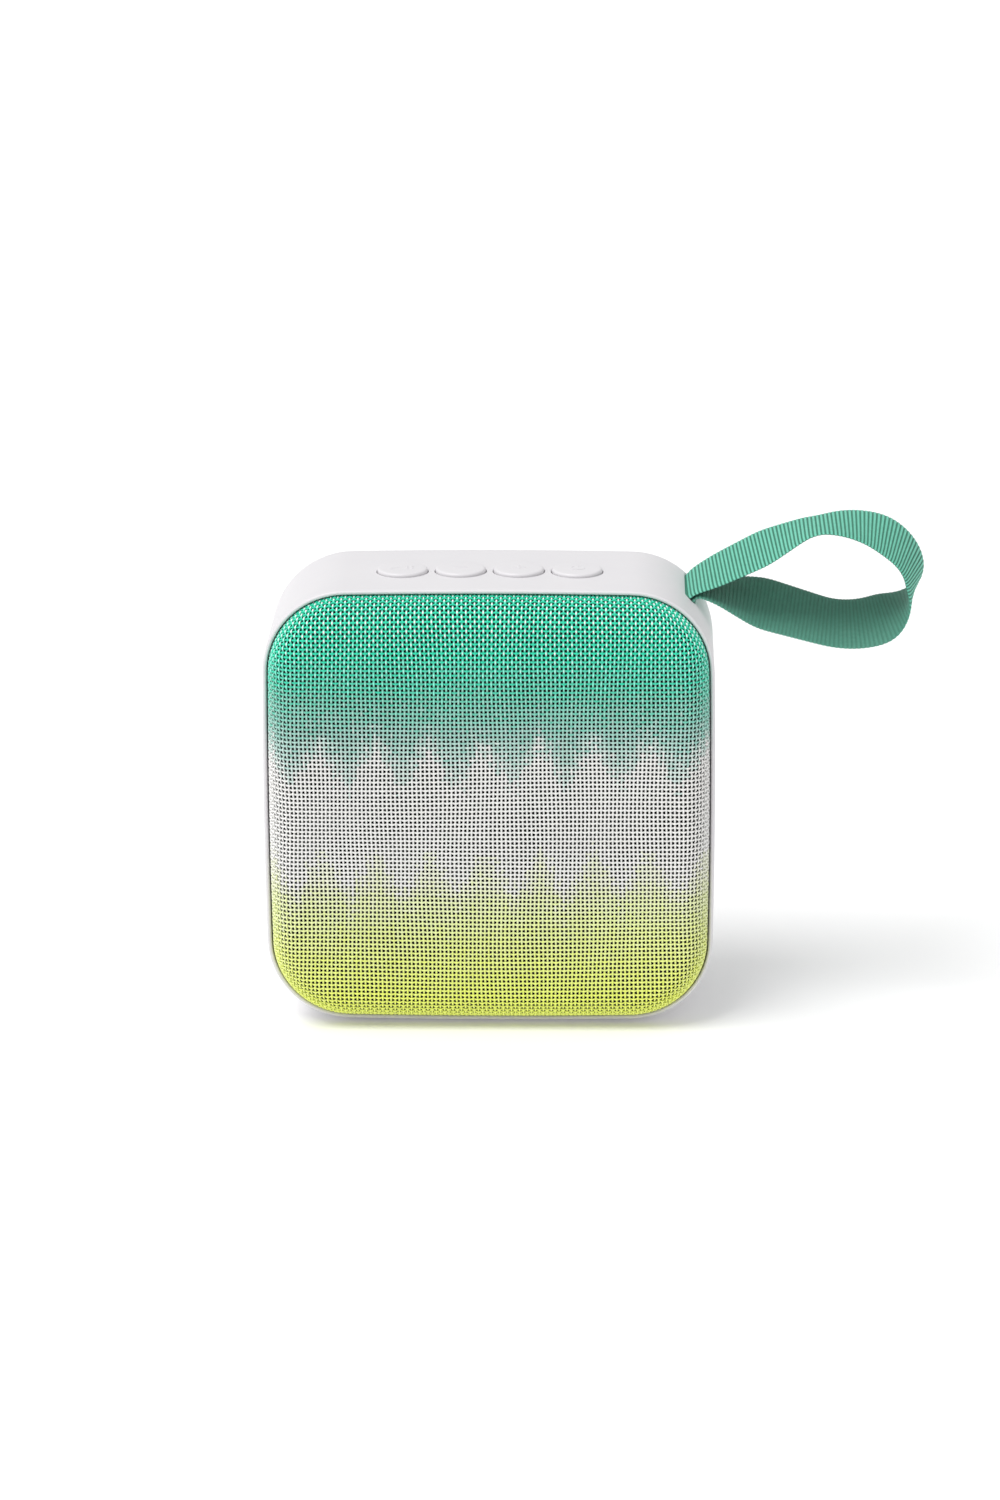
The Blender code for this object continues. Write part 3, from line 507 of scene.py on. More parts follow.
def top_surface(x):
    """Height of the shell's top at x."""
    return MIDDLE + HALF - SIDE_RADIUS + math.sqrt(SIDE_RADIUS**2 - x**2)


def shell_section():
    """(inset, y) from the middle of the back, out and forward round the lip, and back inside the wall."""
    quarter = [math.pi / 2 * i / 12 for i in range(13)]
    outer = [(BACK_RADIUS * (1 - math.sin(t)), BACK - BACK_RADIUS * (1 - math.cos(t))) for t in quarter]
    inner_radius = BACK_RADIUS - WALL
    inner = [(BACK_RADIUS - inner_radius * math.cos(t), BACK - BACK_RADIUS + inner_radius * math.sin(t))
             for t in quarter]
    roll = LIP / 2
    lip = [(roll - roll * math.cos(t), FRONT + roll - roll * math.sin(t)) for t in arc(0, math.pi, 8)]
    rebate = [(LIP, FRONT + REBATE_DEPTH), (WALL, FRONT + REBATE_DEPTH)]
    return outer + lip + rebate + inner


def cylinder(radius, start, end, steps=24):
    axis = (end - start).normalized()
    length = (end - start).length
    profile = [(0, length), (radius, length), (radius, 0), (0, 0)]
    return link("cutter", turned("cutter", profile, start, axis, steps))


def screw_places():
    for place in ("top_left", "top_right", "bottom_left", "bottom_right"):
        low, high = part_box(f"case_screw_{place}")
        middle = (low + high) / 2
        yield middle.x, middle.z


def boss_shapes():
    """The posts inside the shell that its screws run into, and their pilot holes."""
    start, end = BAFFLE_BACK + CLEARANCE, BACK - 5.5 * MM
    posts, pilots = [], []
    for x, z in screw_places():
        posts.append(cylinder(3.25 * MM, Vector((x, start, z)), Vector((x, end, z))))
        pilots.append(cylinder(1.3 * MM, Vector((x, start - MM, z)), Vector((x, start + 11 * MM, z))))
    board_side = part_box("main_board")[1].x
    for level in ("lower", "upper"):
        low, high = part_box(f"main_board_screw_{level}")
        z = (low.z + high.z) / 2
        begin = board_side + CLEARANCE
        posts.append(cylinder(2.5 * MM, Vector((begin, 0, z)), Vector((HALF - WALL / 2, 0, z))))
        pilots.append(cylinder(1.1 * MM, Vector((begin - MM, 0, z)), Vector((begin + 7 * MM, 0, z))))
    low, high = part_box("button_board")
    for side in (-1, 1):
        x, y = side * (high.x - 1.8 * MM), 4.3 * MM
        roof = Vector((x, y, MIDDLE + HALF - WALL / 2))
        posts.append(cylinder(1.9 * MM, Vector((x, y, high.z + CLEARANCE)), roof))
        posts.append(cylinder(0.8 * MM, Vector((x, y, low.z - 0.4 * MM)), roof))
    return posts, pilots


def port_cutters():
    """Openings in the back for the sockets behind it, each with a rounded rim."""
    cutters = []
    shapes = {
        "aux_jack": lambda grow: circle(3.1 * MM + grow, 40),
        "charge_socket": lambda grow: rounded_rectangle(3.8 * MM, 9.6 * MM, 1.6 * MM, grow),
        "card_socket": lambda grow: rounded_rectangle(1.8 * MM, 12.6 * MM, 0.5 * MM, grow),
        "led_light_pipe": lambda grow: circle(1.1 * MM + grow, 24),
        "microphone": lambda grow: circle(0.6 * MM + grow, 16),
    }
    for node, shape in shapes.items():
        low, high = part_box(node)
        place = Vector(((low.x + high.x) / 2, BACK, (low.z + high.z) / 2))
        rim = SMALL_PORT_RIM if node in ("led_light_pipe", "microphone") else PORT_RIM
        cutters.append(mouth_cutter(shape, place, BACKWARDS, ACROSS, rim, 3 * WALL))
    return cutters


def shell_piece(plastic):
    """The one-piece rear shell, with its button holes, strap slot, ports and foot recess."""
    rings = [shell_ring(inset, y) for inset, y in shell_section()]
    shell = link("shell", loft("shell", rings), plastic)
    posts, pilots = boss_shapes()
    combine(shell, posts, "UNION")
    cutters = pilots + port_cutters()
    for name in BUTTONS:
        x = button_x(name)
        place = Vector((x, 0, top_surface(x)))
        shape = lambda grow: circle(CAP_RADIUS + CAP_GAP + grow, 72)
        cutters.append(mouth_cutter(shape, place, UP, ACROSS, HOLE_RIM, 3 * WALL))
    slot = lambda grow: rounded_rectangle(STRAP_WIDTH + SLOT_ROOM, SLOT_HEIGHT, 1.1 * MM, grow)
    cutters.append(mouth_cutter(slot, SLOT, OUTWARD, BACKWARDS, SLOT_RIM, 5 * MM))
    foot_low, foot_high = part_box("foot_pad")
    width, depth = foot_high.x - foot_low.x, foot_high.y - foot_low.y
    recess = [
        [Vector((u, v, z)) for u, v in rounded_rectangle(width, depth, depth / 2, 0.2 * MM, 12)]
        for z in (BOTTOM - WALL, foot_high.z + CLEARANCE)
    ]
    cutters.append(link("cutter", loft("cutter", recess)))
    combine(shell, cutters, "DIFFERENCE")
    even_normals(shell)
    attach(shell, "casing")
    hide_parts("rear_shell")


# ---- buttons ----
def button_x(name):
    low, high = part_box(f"{name}_button")
    return (low.x + high.x) / 2


def prism(points, low, high):
    """An upright prism with its top edges drawn in a little."""
    middle = sum((Vector(point) for point in points), Vector((0, 0))) / len(points)
    rings = []
    for height, draw in ((low, 1.0), (high - 0.04 * MM, 1.0), (high, 0.93)):
        rings.append([Vector((*middle.lerp(Vector(point), draw), height)) for point in points])
    return link("emblem", loft("emblem", rings, 60))


def bar(x, y, width, height):
    return [(x + u, y + v) for u, v in rounded_rectangle(width, height, 0.12 * MM, 0, 3)]


def ring_emblem(low, high, radius, width):
    """Most of a ring, open at the top: a small rectangle carried round an arc."""
    rings = []
    for t in arc(math.radians(125), math.radians(415), 28):
        out = Vector((math.cos(t), math.sin(t), 0))
        rings.append([
            out * (radius + across * width / 2) + UP * height
            for across, height in ((-1, low), (-1, high), (1, high), (1, low))
        ])
    return link("emblem", loft("emblem", rings, 60))


def emblems(name, low, high):
    """Raised marks for play and pause, minus, plus and power."""
    stroke = MARK_STROKE
    if name == "play":
        triangle = [(-2.3 * MM, -1.1 * MM), (-0.5 * MM, 0), (-2.3 * MM, 1.1 * MM)]
        bars = [bar(x * MM, 0, stroke, 2.1 * MM) for x in (0.9, 1.8)]
        return [prism(shape, low, high) for shape in [triangle] + bars]
    if name == "volume_down":
        return [prism(bar(0, 0, 2.6 * MM, stroke), low, high)]
    if name == "volume_up":
        shape = [bar(0, 0, 2.6 * MM, stroke), bar(0, 0, stroke, 2.6 * MM)]
        return [prism(shape[0], low, high), prism(shape[1], low, high + 0.004 * MM)]
    dash = prism(bar(0, 1.1 * MM, stroke, 1.3 * MM), low, high)
    return [ring_emblem(low, high, 1.25 * MM, stroke), dash]


def cap_profile(stem_end):
    """A low cap with a soft rim, the flange that keeps it in the shell, and a stem down to a height."""
    crown, edge = 0.06 * MM, 0.5 * MM
    flat = CAP_RADIUS - edge
    steps = 6
    top = [(flat * i / steps, CAP_PROUD - crown * (i / steps) ** 2) for i in range(steps + 1)]
    top_edge = CAP_PROUD - crown
    turns = arc(0, math.pi / 2, 8)
    rim = [(flat + edge * math.sin(t), top_edge - edge + edge * math.cos(t)) for t in turns]
    flange = CAP_RADIUS + FLANGE
    under = [
        (CAP_RADIUS, FLANGE_TOP),
        (flange, FLANGE_TOP),
        (flange, FLANGE_UNDER),
        (STEM_RADIUS, FLANGE_UNDER),
        (STEM_RADIUS, stem_end),
        (0, stem_end),
    ]
    return top + rim[1:] + under


def button_caps(plastic):
    for name in BUTTONS:
        x = button_x(name)
        low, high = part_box(f"{name}_button")
        profile = cap_profile(low.z - top_surface(x))
        cap = link(f"{name}_cap", turned(f"{name}_cap", profile, Vector((0, 0, 0)), steps=72), plastic)
        marks = emblems(name, CAP_PROUD - MARK_SUNK, CAP_PROUD + MARK_PROUD)
        combine(cap, marks, "UNION")
        cap.data.transform(Matrix.Translation((x, 0, top_surface(x))))
        even_normals(cap)
        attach(cap, name)
        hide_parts(f"{name}_button")


# ---- grille cloth ----
WARP_PITCH, WARP_WIDTH = 0.79 * MM, 0.35 * MM
WEFT_PITCH, WEFT_WIDTH = 0.84 * MM, 0.37 * MM
YARN_THICKNESS = 0.3 * MM
WAVE = 0.15 * MM  # a yarn's rise and fall over its crossings
SLACK = 0.35 * MM  # how far the weave wanders from a true grid
YARN_SWELL, SPOT_SWELL = 0.03, 0.04  # how much widths vary from yarn to yarn, and along one
YARN_TAKE, SPOT_TAKE = 0.9 * MM, 1.1 * MM  # how far one yarn, or one spot of it, shifts the dye's edge
CLOTH_INSET = 1.3 * MM  # of the cloth's middle surface from the shell's outline
CLOTH_EDGE = 5 * MM  # radius of the roll from the front into the sides
CLOTH_FRONT = CLOTH_FOREMOST + WAVE + YARN_THICKNESS / 2
CROWN = 0.25 * MM  # the front's middle stands this far forward of its edge
SKIRT = 2.0 * MM  # of cloth that runs down the sides into the rebate
CLOTH_REACH = HALF + 0.6 * CLOTH_EDGE + SKIRT  # how far the cloth can run from its middle
SIDES = 6  # of a yarn's section

# the dye fades in steps of z, and its edges zigzag
MINT_EDGE, MINT_FULL = 54 * MM, 76 * MM
LIME_EDGE, LIME_FULL = 30.5 * MM, 6 * MM
EDGE_SHARE = 0.2  # of the dye just inside its edge
EDGE_FADE = 9 * MM
ZIGZAG_PITCH = 10.4 * MM
ZIGZAG_RISE = 4.5 * MM
ZIGZAG_START = -0.8 * MM  # x of a peak
ZIGZAG_SWAY = 0.9 * MM  # unevenness from peak to peak

# colours from full mint (-1) through undyed (0) to full lime (1)
DYE_STEPS = 17
DYE_STOPS = (-1, -0.67, -0.38, 0, 0.45, 1)
WEFT_MINTS = ((30, 224, 180), (100, 210, 182), (164, 216, 204))
WARP_MINTS = ((114, 246, 218), (156, 228, 208), (188, 222, 212))
UNDYED_TO_LIME = ((248, 247, 245), (242, 250, 190), (246, 255, 126))
# painted highlight: towards the top edge the warp's crests are lightened to white, standing in for glints of the
# light from above
GLINT_STEPS = 5
GLINT_START, GLINT_FULL = 68 * MM, 81 * MM
WHITE_GLINT = (250, 255, 252)


def smooth_step(value):
    value = np.clip(value, 0, 1)
    return value * value * (3 - 2 * value)


def sway(u, v, sizes, phase):
    """A slow wander between -1 and 1 over the cloth."""
    total = 0
    for i, size in enumerate(sizes):
        turn = 2.4 * i + phase
        along = u * math.cos(turn) + v * math.sin(turn)
        total = total + np.sin(along * 2 * math.pi / size + 1.7 * i + phase)
    return total / len(sizes)


def on_cloth(u, v):
    """Places and outward normals of cloth points, and how far each is past the front's edge.
    u and v are measured along the cloth from its middle. Past the edge it rolls over and runs back."""
    inner = CLOTH_INSET + CLOTH_EDGE
    away = HALF - SIDE_RADIUS
    x, z = np.abs(u), np.abs(v)
    reach_side = np.hypot(x - away, z)
    reach_top = np.hypot(x, z - away)
    reach_corner = np.hypot(x - CORNER, z - CORNER)
    angle = np.arctan2(z - CORNER, x - CORNER)
    in_corner = (angle > SIDE_TURN) & (angle < math.pi / 2 - SIDE_TURN)
    by_side = reach_side > reach_top
    past = np.where(by_side, reach_side, reach_top) - (SIDE_RADIUS - inner)
    past = np.where(in_corner, reach_corner - (CORNER_RADIUS - inner), past)
    nx = np.where(by_side, (x - away) / reach_side, x / reach_top)
    nz = np.where(by_side, z / reach_side, (z - away) / reach_top)
    nx = np.where(in_corner, (x - CORNER) / np.maximum(reach_corner, 1e-9), nx) * np.sign(u)
    nz = np.where(in_corner, (z - CORNER) / np.maximum(reach_corner, 1e-9), nz) * np.sign(v)
    over = np.maximum(past, 0)
    turn = np.minimum(over / CLOTH_EDGE, math.pi / 2)
    down = over - CLOTH_EDGE * turn
    draw = CLOTH_EDGE * np.sin(turn) - over
    bow = CROWN * np.clip(1 - (u / HALF) ** 2, 0, 1) * np.clip(1 - (v / HALF) ** 2, 0, 1)
    depth = CLOTH_FRONT + CROWN - bow * np.cos(turn) + CLOTH_EDGE * (1 - np.cos(turn)) + down
    places = np.stack([u + nx * draw, depth, MIDDLE + v + nz * draw], -1)
    normals = np.stack([nx * np.sin(turn), -np.cos(turn), nz * np.sin(turn)], -1)
    return places, normals, past


def dye_shares(x, z, jitter):
    """How much mint and how much lime the cloth takes: both fade towards the middle and end in a zigzag."""
    peaks = np.arcsin(0.97 * np.cos((x - ZIGZAG_START) * 2 * math.pi / ZIGZAG_PITCH)) * 2 / math.pi
    uneven = ZIGZAG_SWAY * sway(x, 0 * x, (41 * MM, 23 * MM, 7.3 * MM), 1.9)
    shift = ZIGZAG_RISE * peaks + uneven
    height = z + jitter
    mint = smooth_step((height - shift - MINT_EDGE) / EDGE_FADE + 0.5)
    lime = smooth_step((LIME_EDGE + shift - height) / EDGE_FADE + 0.5)
    mint = mint * np.interp(height, (MINT_EDGE, MINT_FULL), (EDGE_SHARE, 1))
    lime = lime * np.interp(height, (LIME_FULL, LIME_EDGE), (1, EDGE_SHARE))
    return mint, lime


def dye_index(mint, lime):
    """Which of the dyes, numbered from full mint through grey to full lime."""
    return np.clip(np.rint((lime - mint + 1) / 2 * (DYE_STEPS - 1)), 0, DYE_STEPS - 1).astype(int)


def yarn_finishes(family, dyes, sheen):
    """A finish for each step of the dye, then for each step from mint to a painted white highlight on a crest.
    Each is a bundle of filaments with a broken shine."""
    colours = []
    for share in np.linspace(-1, 1, DYE_STEPS):
        colours.append([float(np.interp(share, DYE_STOPS, channel)) for channel in zip(*dyes)])
    for glint in np.linspace(1 / GLINT_STEPS, 1, GLINT_STEPS):
        mixed = [(1 - glint) * dyed + glint * white for dyed, white in zip(dyes[0], WHITE_GLINT)]
        colours.append([float(channel) for channel in mixed])
    finishes = []
    for step, colour in enumerate(colours):
        made = Finish(f"{family}_dye_{step}", linear(*colour), 0.55)
        filaments = made.noise(0.09 * MM, 3)
        made.vary("Specular IOR Level", filaments, 0.2, 0.8)
        made.vary("Sheen Weight", filaments, 0.1, sheen)
        made.set("Sheen Roughness", 0.4)
        finishes.append(made.material)
    return finishes


def yarn(number, along_height, draws):
    """One yarn's rings of points and the dye of each stretch between two rings, or None off the cloth.
    Rings stand a quarter of a pitch off each crossing, so a stretch is a crest, a dip or a slope."""
    pitch, width, cross_pitch = WEFT_PITCH, WEFT_WIDTH, WARP_PITCH
    if along_height:
        pitch, width, cross_pitch = WARP_PITCH, WARP_WIDTH, WEFT_PITCH
    count = int(CLOTH_REACH / cross_pitch)
    crossing = np.arange(-2 * count, 2 * count) / 2 + 0.25
    fixed = np.full(len(crossing), number * pitch)
    running = crossing * cross_pitch
    u, v = (fixed, running) if along_height else (running, fixed)
    wander_u = SLACK * sway(u, v, (37 * MM, 61 * MM, 19 * MM), 0.7)
    wander_v = SLACK * sway(u, v, (43 * MM, 29 * MM, 71 * MM), 2.1)
    places, normals, past = on_cloth(u + wander_u, v + wander_v)
    inside = np.flatnonzero(past <= CLOTH_EDGE * math.pi / 2 + SKIRT)
    if len(inside) < 6:
        return None
    keep = slice(inside[0], inside[-1] + 1)
    places, normals, crossing = places[keep], normals[keep], crossing[keep]
    side_up = 1 if along_height else -1
    wave = side_up * np.where((number + np.rint(crossing)) % 2, -1, 1)
    middle = places + normals * (WAVE * wave)[:, None]
    tangent = np.gradient(middle, axis=0)
    tangent /= np.linalg.norm(tangent, axis=1)[:, None]
    side = np.cross(tangent, normals)
    side /= np.linalg.norm(side, axis=1)[:, None]
    lift = np.cross(side, tangent)
    swell = 1 + YARN_SWELL * draws.standard_normal() + SPOT_SWELL * draws.standard_normal(len(middle))
    turns = 2 * math.pi * np.arange(SIDES) / SIDES
    rings = (
        middle[:, None]
        + side[:, None] * (width / 2 * swell[:, None] * np.cos(turns))[..., None]
        + lift[:, None] * (YARN_THICKNESS / 2 * np.sin(turns))[None, :, None]
    )
    halfway = (crossing[:-1] + crossing[1:]) / 2
    nearest = np.rint(halfway).astype(int)
    chance = draws.standard_normal(2 * count + 3)[nearest + count]
    jitter = SPOT_TAKE * chance + YARN_TAKE * draws.standard_normal()
    mint, lime = dye_shares(places[:-1, 0], places[:-1, 2], jitter)
    # painted highlight: warp crests high on the cloth take the lightened finishes instead of their dye
    crest = np.isclose(halfway, nearest) & (wave[:-1] > 0)
    glint = (places[:-1, 2] + jitter - GLINT_START) / (GLINT_FULL - GLINT_START)
    glint = np.clip(np.rint(glint * GLINT_STEPS), 0, GLINT_STEPS).astype(int)
    glinting = crest & along_height & (glint > 0)
    return rings, np.where(glinting, DYE_STEPS - 1 + glint, dye_index(mint, lime))


def tube_mesh(name, tubes):
    """One mesh from many closed tubes, whose faces take the dye of their stretch."""
    points, faces, dyes = [], [], []
    base = 0
    around = np.arange(SIDES)
    for rings, dye in tubes:
        count = len(rings)
        points.append(rings.reshape(-1, 3))
        start = base + SIDES * np.arange(count - 1)[:, None]
        following = (around + 1) % SIDES
        ahead = start + SIDES
        quads = np.stack([start + around, ahead + around, ahead + following, start + following], -1)
        faces.append(quads.reshape(-1, 4))
        dyes.append(np.repeat(dye, SIDES))
        end = base + SIDES * (count - 1)
        caps = [[base, base + 1, base + 2, base + 3], [base, base + 3, base + 4, base + 5]]
        caps += [[end + 3, end + 2, end + 1, end], [end + 5, end + 4, end + 3, end]]
        faces.append(np.array(caps))
        dyes.append(np.full(4, dye[0]))
        base += SIDES * count
    points, faces, dyes = np.concatenate(points), np.concatenate(faces), np.concatenate(dyes)
    mesh = bpy.data.meshes.new(name)
    mesh.vertices.add(len(points))
    mesh.vertices.foreach_set("co", points.astype(np.float32).ravel())
    mesh.loops.add(4 * len(faces))
    mesh.loops.foreach_set("vertex_index", faces.astype(np.int32).ravel())
    mesh.polygons.add(len(faces))
    mesh.polygons.foreach_set("loop_start", np.arange(0, 4 * len(faces), 4, dtype=np.int32))
    mesh.polygons.foreach_set("material_index", dyes.astype(np.int32))
    mesh.update(calc_edges=True)
    mesh.validate()
    mesh.shade_smooth()
    return mesh


def cloth_piece(name, mesh, finishes):
    cloth = link(name, mesh, *finishes)
    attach(cloth, "casing")
    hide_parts("grille_fabric")


def grille_cloth():
    """Plain-woven cloth, yarn by yarn, stretched over the grille frame."""
    draws = np.random.RandomState(7)
    families = (("warp", True, WARP_PITCH, WARP_MINTS, 0.5), ("weft", False, WEFT_PITCH, WEFT_MINTS, 0.2))
    for family, along_height, pitch, mints, sheen in families:
        finishes = yarn_finishes(family, mints + UNDYED_TO_LIME, sheen)
        count = int(CLOTH_REACH / pitch)
        tubes = [yarn(number, along_height, draws) for number in range(-count, count + 1)]
        tubes = [tube for tube in tubes if tube]
        half = len(tubes) // 2
        for part, share in (("first", tubes[:half]), ("second", tubes[half:])):
            cloth_piece(f"grille_{family}_{part}_half", tube_mesh(family, share), finishes)
    # painted shade: a black sheet behind the yarns so the gaps in the weave read dark
    backing = loft("grille_shade_backing", backing_rings())
    cloth_piece("grille_shade_backing", backing, [shade_backing()])


def backing_rings():
    """The dark sheet behind the yarns, painted shade for the gaps in the weave: over its front edge, down into the
    rebate, and back inside.
    """
    gap, thickness = 0.34 * MM, 0.06 * MM
    centre = CLOTH_INSET + CLOTH_EDGE
    front = CLOTH_FRONT + CROWN + gap
    roll_y = front + CLOTH_EDGE - gap
    section = []
    turns = arc(0, math.pi / 2, 8)
    for radius, order in ((CLOTH_EDGE - gap, 1), (CLOTH_EDGE - gap - thickness, -1)):
        side = [(centre - radius * math.sin(t), roll_y - radius * math.cos(t)) for t in turns]
        side.append((centre - radius, roll_y + SKIRT))
        section += side[::order]
    return [shell_ring(inset, y) for inset, y in section]


# ---- wrist strap ----
STRAP_PLY = 0.9 * MM
RIB_PITCH = 0.76 * MM
RIB_SAMPLES = 8
RIB_DEPTH = 0.2 * MM
INNER_RIBS = 0.4  # how deep the ribs are on the loop's inside, as a share
LOOP_CENTRE = Vector((28.1 * MM, 1.8 * MM))  # (x, z) of the round end's middle from the pivot
LOOP_HALVES = Vector((13.9 * MM, 9.9 * MM))
LOOP_DROOP = math.radians(-7.9)  # the round end hangs a little
# how far the webbing's back edge leans to the loop's outside, in degrees, a share of the way along it
LEAN_OUT = {0.04: 0, 0.11: 8, 0.2: 11, 0.3: -3, 0.42: 15, 0.52: 15}
LEAN_BACK = {0.6: -22, 0.7: -20, 0.82: -24, 0.9: -4, 0.96: 0}
STRAP_LEAN = {**LEAN_OUT, **LEAN_BACK}
EDGE_NOTCH = 0.14 * MM  # how far the webbing's edge draws in between ribs
# painted shade: the grooves and the loop's inner face are coloured darker than the outer crests, standing in for
# the shade that falls there
STRAP_PAINTED_SHADES = {
    "crest": (112, 204, 178),
    "groove": (64, 138, 114),
    "inner_crest": (84, 150, 130),
    "inner_groove": (74, 136, 117),
}


def strap_path():
    """(x, z) points of the webbing's middle line: out of the slot, round the loop and back in."""
    out = Vector((OUTWARD.x, OUTWARD.z))
    aside = Vector((-out.y, out.x))
    pivot, mouth, inner = (Vector((p.x, p.z)) for p in (PIVOT, SLOT, TAIL - OUTWARD * 3 * MM))
    cosine, sine = math.cos(LOOP_DROOP), math.sin(LOOP_DROOP)

    def from_round(unit):
        """A point of the unit circle's plane, in the loop's own place."""
        x, z = unit.x * LOOP_HALVES.x, unit.y * LOOP_HALVES.y
        return pivot + LOOP_CENTRE + Vector((cosine * x - sine * z, sine * x + cosine * z))

    back = -LOOP_CENTRE
    tip = Vector((cosine * back.x + sine * back.y, -sine * back.x + cosine * back.y))
    tip = Vector((tip.x / LOOP_HALVES.x, tip.y / LOOP_HALVES.y))
    facing = math.atan2(tip.y, tip.x) % (2 * math.pi)
    spread = math.acos(1 / tip.length)
    turns = arc(facing - spread, facing + spread - 2 * math.pi, 30)
    bend = [from_round(Vector((math.cos(t), math.sin(t)))) for t in turns]
    shift = aside * STRAP_PLY * 0.52
    upper = [inner + shift, mouth + shift, pivot + shift]
    lower = [pivot - shift, mouth - shift, inner - shift]
    run_out = [upper[-1].lerp(bend[0], i / 6) for i in range(1, 6)]
    run_back = [bend[-1].lerp(lower[0], i / 6) for i in range(1, 6)]
    path = upper + run_out + bend + run_back + lower
    for _ in range(3):
        cut_corners = [path[0]]
        for first, second in zip(path, path[1:]):
            cut_corners += [first.lerp(second, 0.25), first.lerp(second, 0.75)]
        path = cut_corners + [path[-1]]
    return np.array([tuple(point) for point in path])


def strap_lean(share):
    """The lean in radians, eased from one of its named values to the next."""
    lean = np.interp(share, list(STRAP_LEAN), list(STRAP_LEAN.values()))
    kernel = np.hanning(len(share) // 14)
    reach = len(kernel) // 2
    padded = np.pad(lean, (reach, len(kernel) - 1 - reach), "edge")
    return np.radians(np.convolve(padded, kernel / kernel.sum(), "valid"))


def strap_piece():
    """Ribbed webbing, one length folded into a loop, with its two ends inside the shell."""
    path = strap_path()
    lengths = np.concatenate([[0], np.cumsum(np.linalg.norm(np.diff(path, axis=0), axis=1))])
    ribs = int(lengths[-1] / RIB_PITCH)
    along = np.linspace(0, lengths[-1], ribs * RIB_SAMPLES + 1)
    x, z = np.interp(along, lengths, path[:, 0]), np.interp(along, lengths, path[:, 1])
    kernel = np.hanning(2 * RIB_SAMPLES + 1)
    kernel /= kernel.sum()
    padded = [np.pad(axis, RIB_SAMPLES, "reflect", reflect_type="odd") for axis in (x, z)]
    x, z = (np.convolve(axis, kernel, "valid") for axis in padded)
    middle = np.stack([x, np.full_like(x, STRAP_Y), z], -1)
    tangent = np.gradient(middle, axis=0)
    tangent /= np.linalg.norm(tangent, axis=1)[:, None]
    level = np.array([0.0, 1.0, 0.0])
    outer = np.cross(tangent, level)
    lean = strap_lean(along / along[-1])[:, None]
    wide = level * np.cos(lean) + outer * np.sin(lean)
    normal = np.cross(tangent, wide)
    place = (np.arange(len(along)) % RIB_SAMPLES) / RIB_SAMPLES
    rib = np.sqrt(1 - (2 * place - 1) ** 2)
    outer_side = STRAP_PLY / 2 - RIB_DEPTH * (1 - rib)
    inner_side = STRAP_PLY / 2 - RIB_DEPTH * INNER_RIBS * (1 - rib)
    half_width = STRAP_WIDTH / 2 - EDGE_NOTCH * (1 - rib)
    across = np.sin(np.linspace(-math.pi / 2, math.pi / 2, 15))
    fullness = (1 - np.abs(across) ** 8) ** 0.5
    section = [(a, f) for a, f in zip(across, fullness)]
    section += [(a, -f) for a, f in zip(across[-2:0:-1], fullness[-2:0:-1])]
    rings = []
    for a, f in section:
        lift = f * (outer_side if f > 0 else inner_side)
        rings.append(middle + wide * (a * half_width)[:, None] + normal * lift[:, None])
    rings = np.stack(rings, 1)
    mesh = loft("wrist_strap", [[Vector(point) for point in ring] for ring in rings], 75)
    finishes = [webbing(f"webbing_{name}", linear(*shade)) for name, shade in STRAP_PAINTED_SHADES.items()]
    strap = link("wrist_strap", mesh, *finishes)
    # painted shade: faces in a groove or on the loop's inner side take the darker colours
    for face in mesh.polygons:
        ring = min(face.vertices) // len(section) % RIB_SAMPLES
        inner = sum(section[vert % len(section)][1] for vert in face.vertices) < 0
        face.material_index = 2 * inner + (abs(ring + 0.5 - RIB_SAMPLES / 2) > RIB_SAMPLES / 4)
    spot = mesh.attributes.new("across", "FLOAT", "POINT")
    values = np.tile([a * STRAP_WIDTH / 2 for a, f in section], len(rings))
    spot.data.foreach_set("value", values.astype(np.float32))
    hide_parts("strap_loop", "strap_tail")
    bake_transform(strap)


# ---- foot ----
GRIP_PITCH, GRIP_WIDTH, GRIP_DEPTH = 1.7 * MM, 0.8 * MM, 0.25 * MM


def foot_piece(finish):
    """A rubber strip with round ends, a soft edge and fine grip ribs underneath."""
    low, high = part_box("foot_pad")
    width, depth = high.x - low.x, high.y - low.y
    edge = 0.4 * MM
    levels = [(edge * (math.sin(t) - 1), low.z + edge * (1 - math.cos(t))) for t in arc(0, math.pi / 2, 5)]
    levels.append((0, high.z))
    rings = []
    for grow, z in levels:
        points = rounded_rectangle(width, depth, depth / 2 - 0.01 * MM, grow, 16)
        rings.append([Vector((u, v, z)) for u, v in points])
    foot = link("foot_strip", loft("foot_strip", rings), finish)
    grooves = []
    for i in range(-3, 4):
        points = rounded_rectangle(width - depth, GRIP_WIDTH, 0.39 * MM, 0, 5)
        ends = (low.z - MM, low.z + GRIP_DEPTH)
        shape = [[Vector((u, v + i * GRIP_PITCH, z)) for u, v in points] for z in ends]
        grooves.append(link("groove", loft("groove", shape)))
    combine(foot, grooves, "DIFFERENCE")
    even_normals(foot)
    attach(foot, "casing")
    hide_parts("foot_pad")


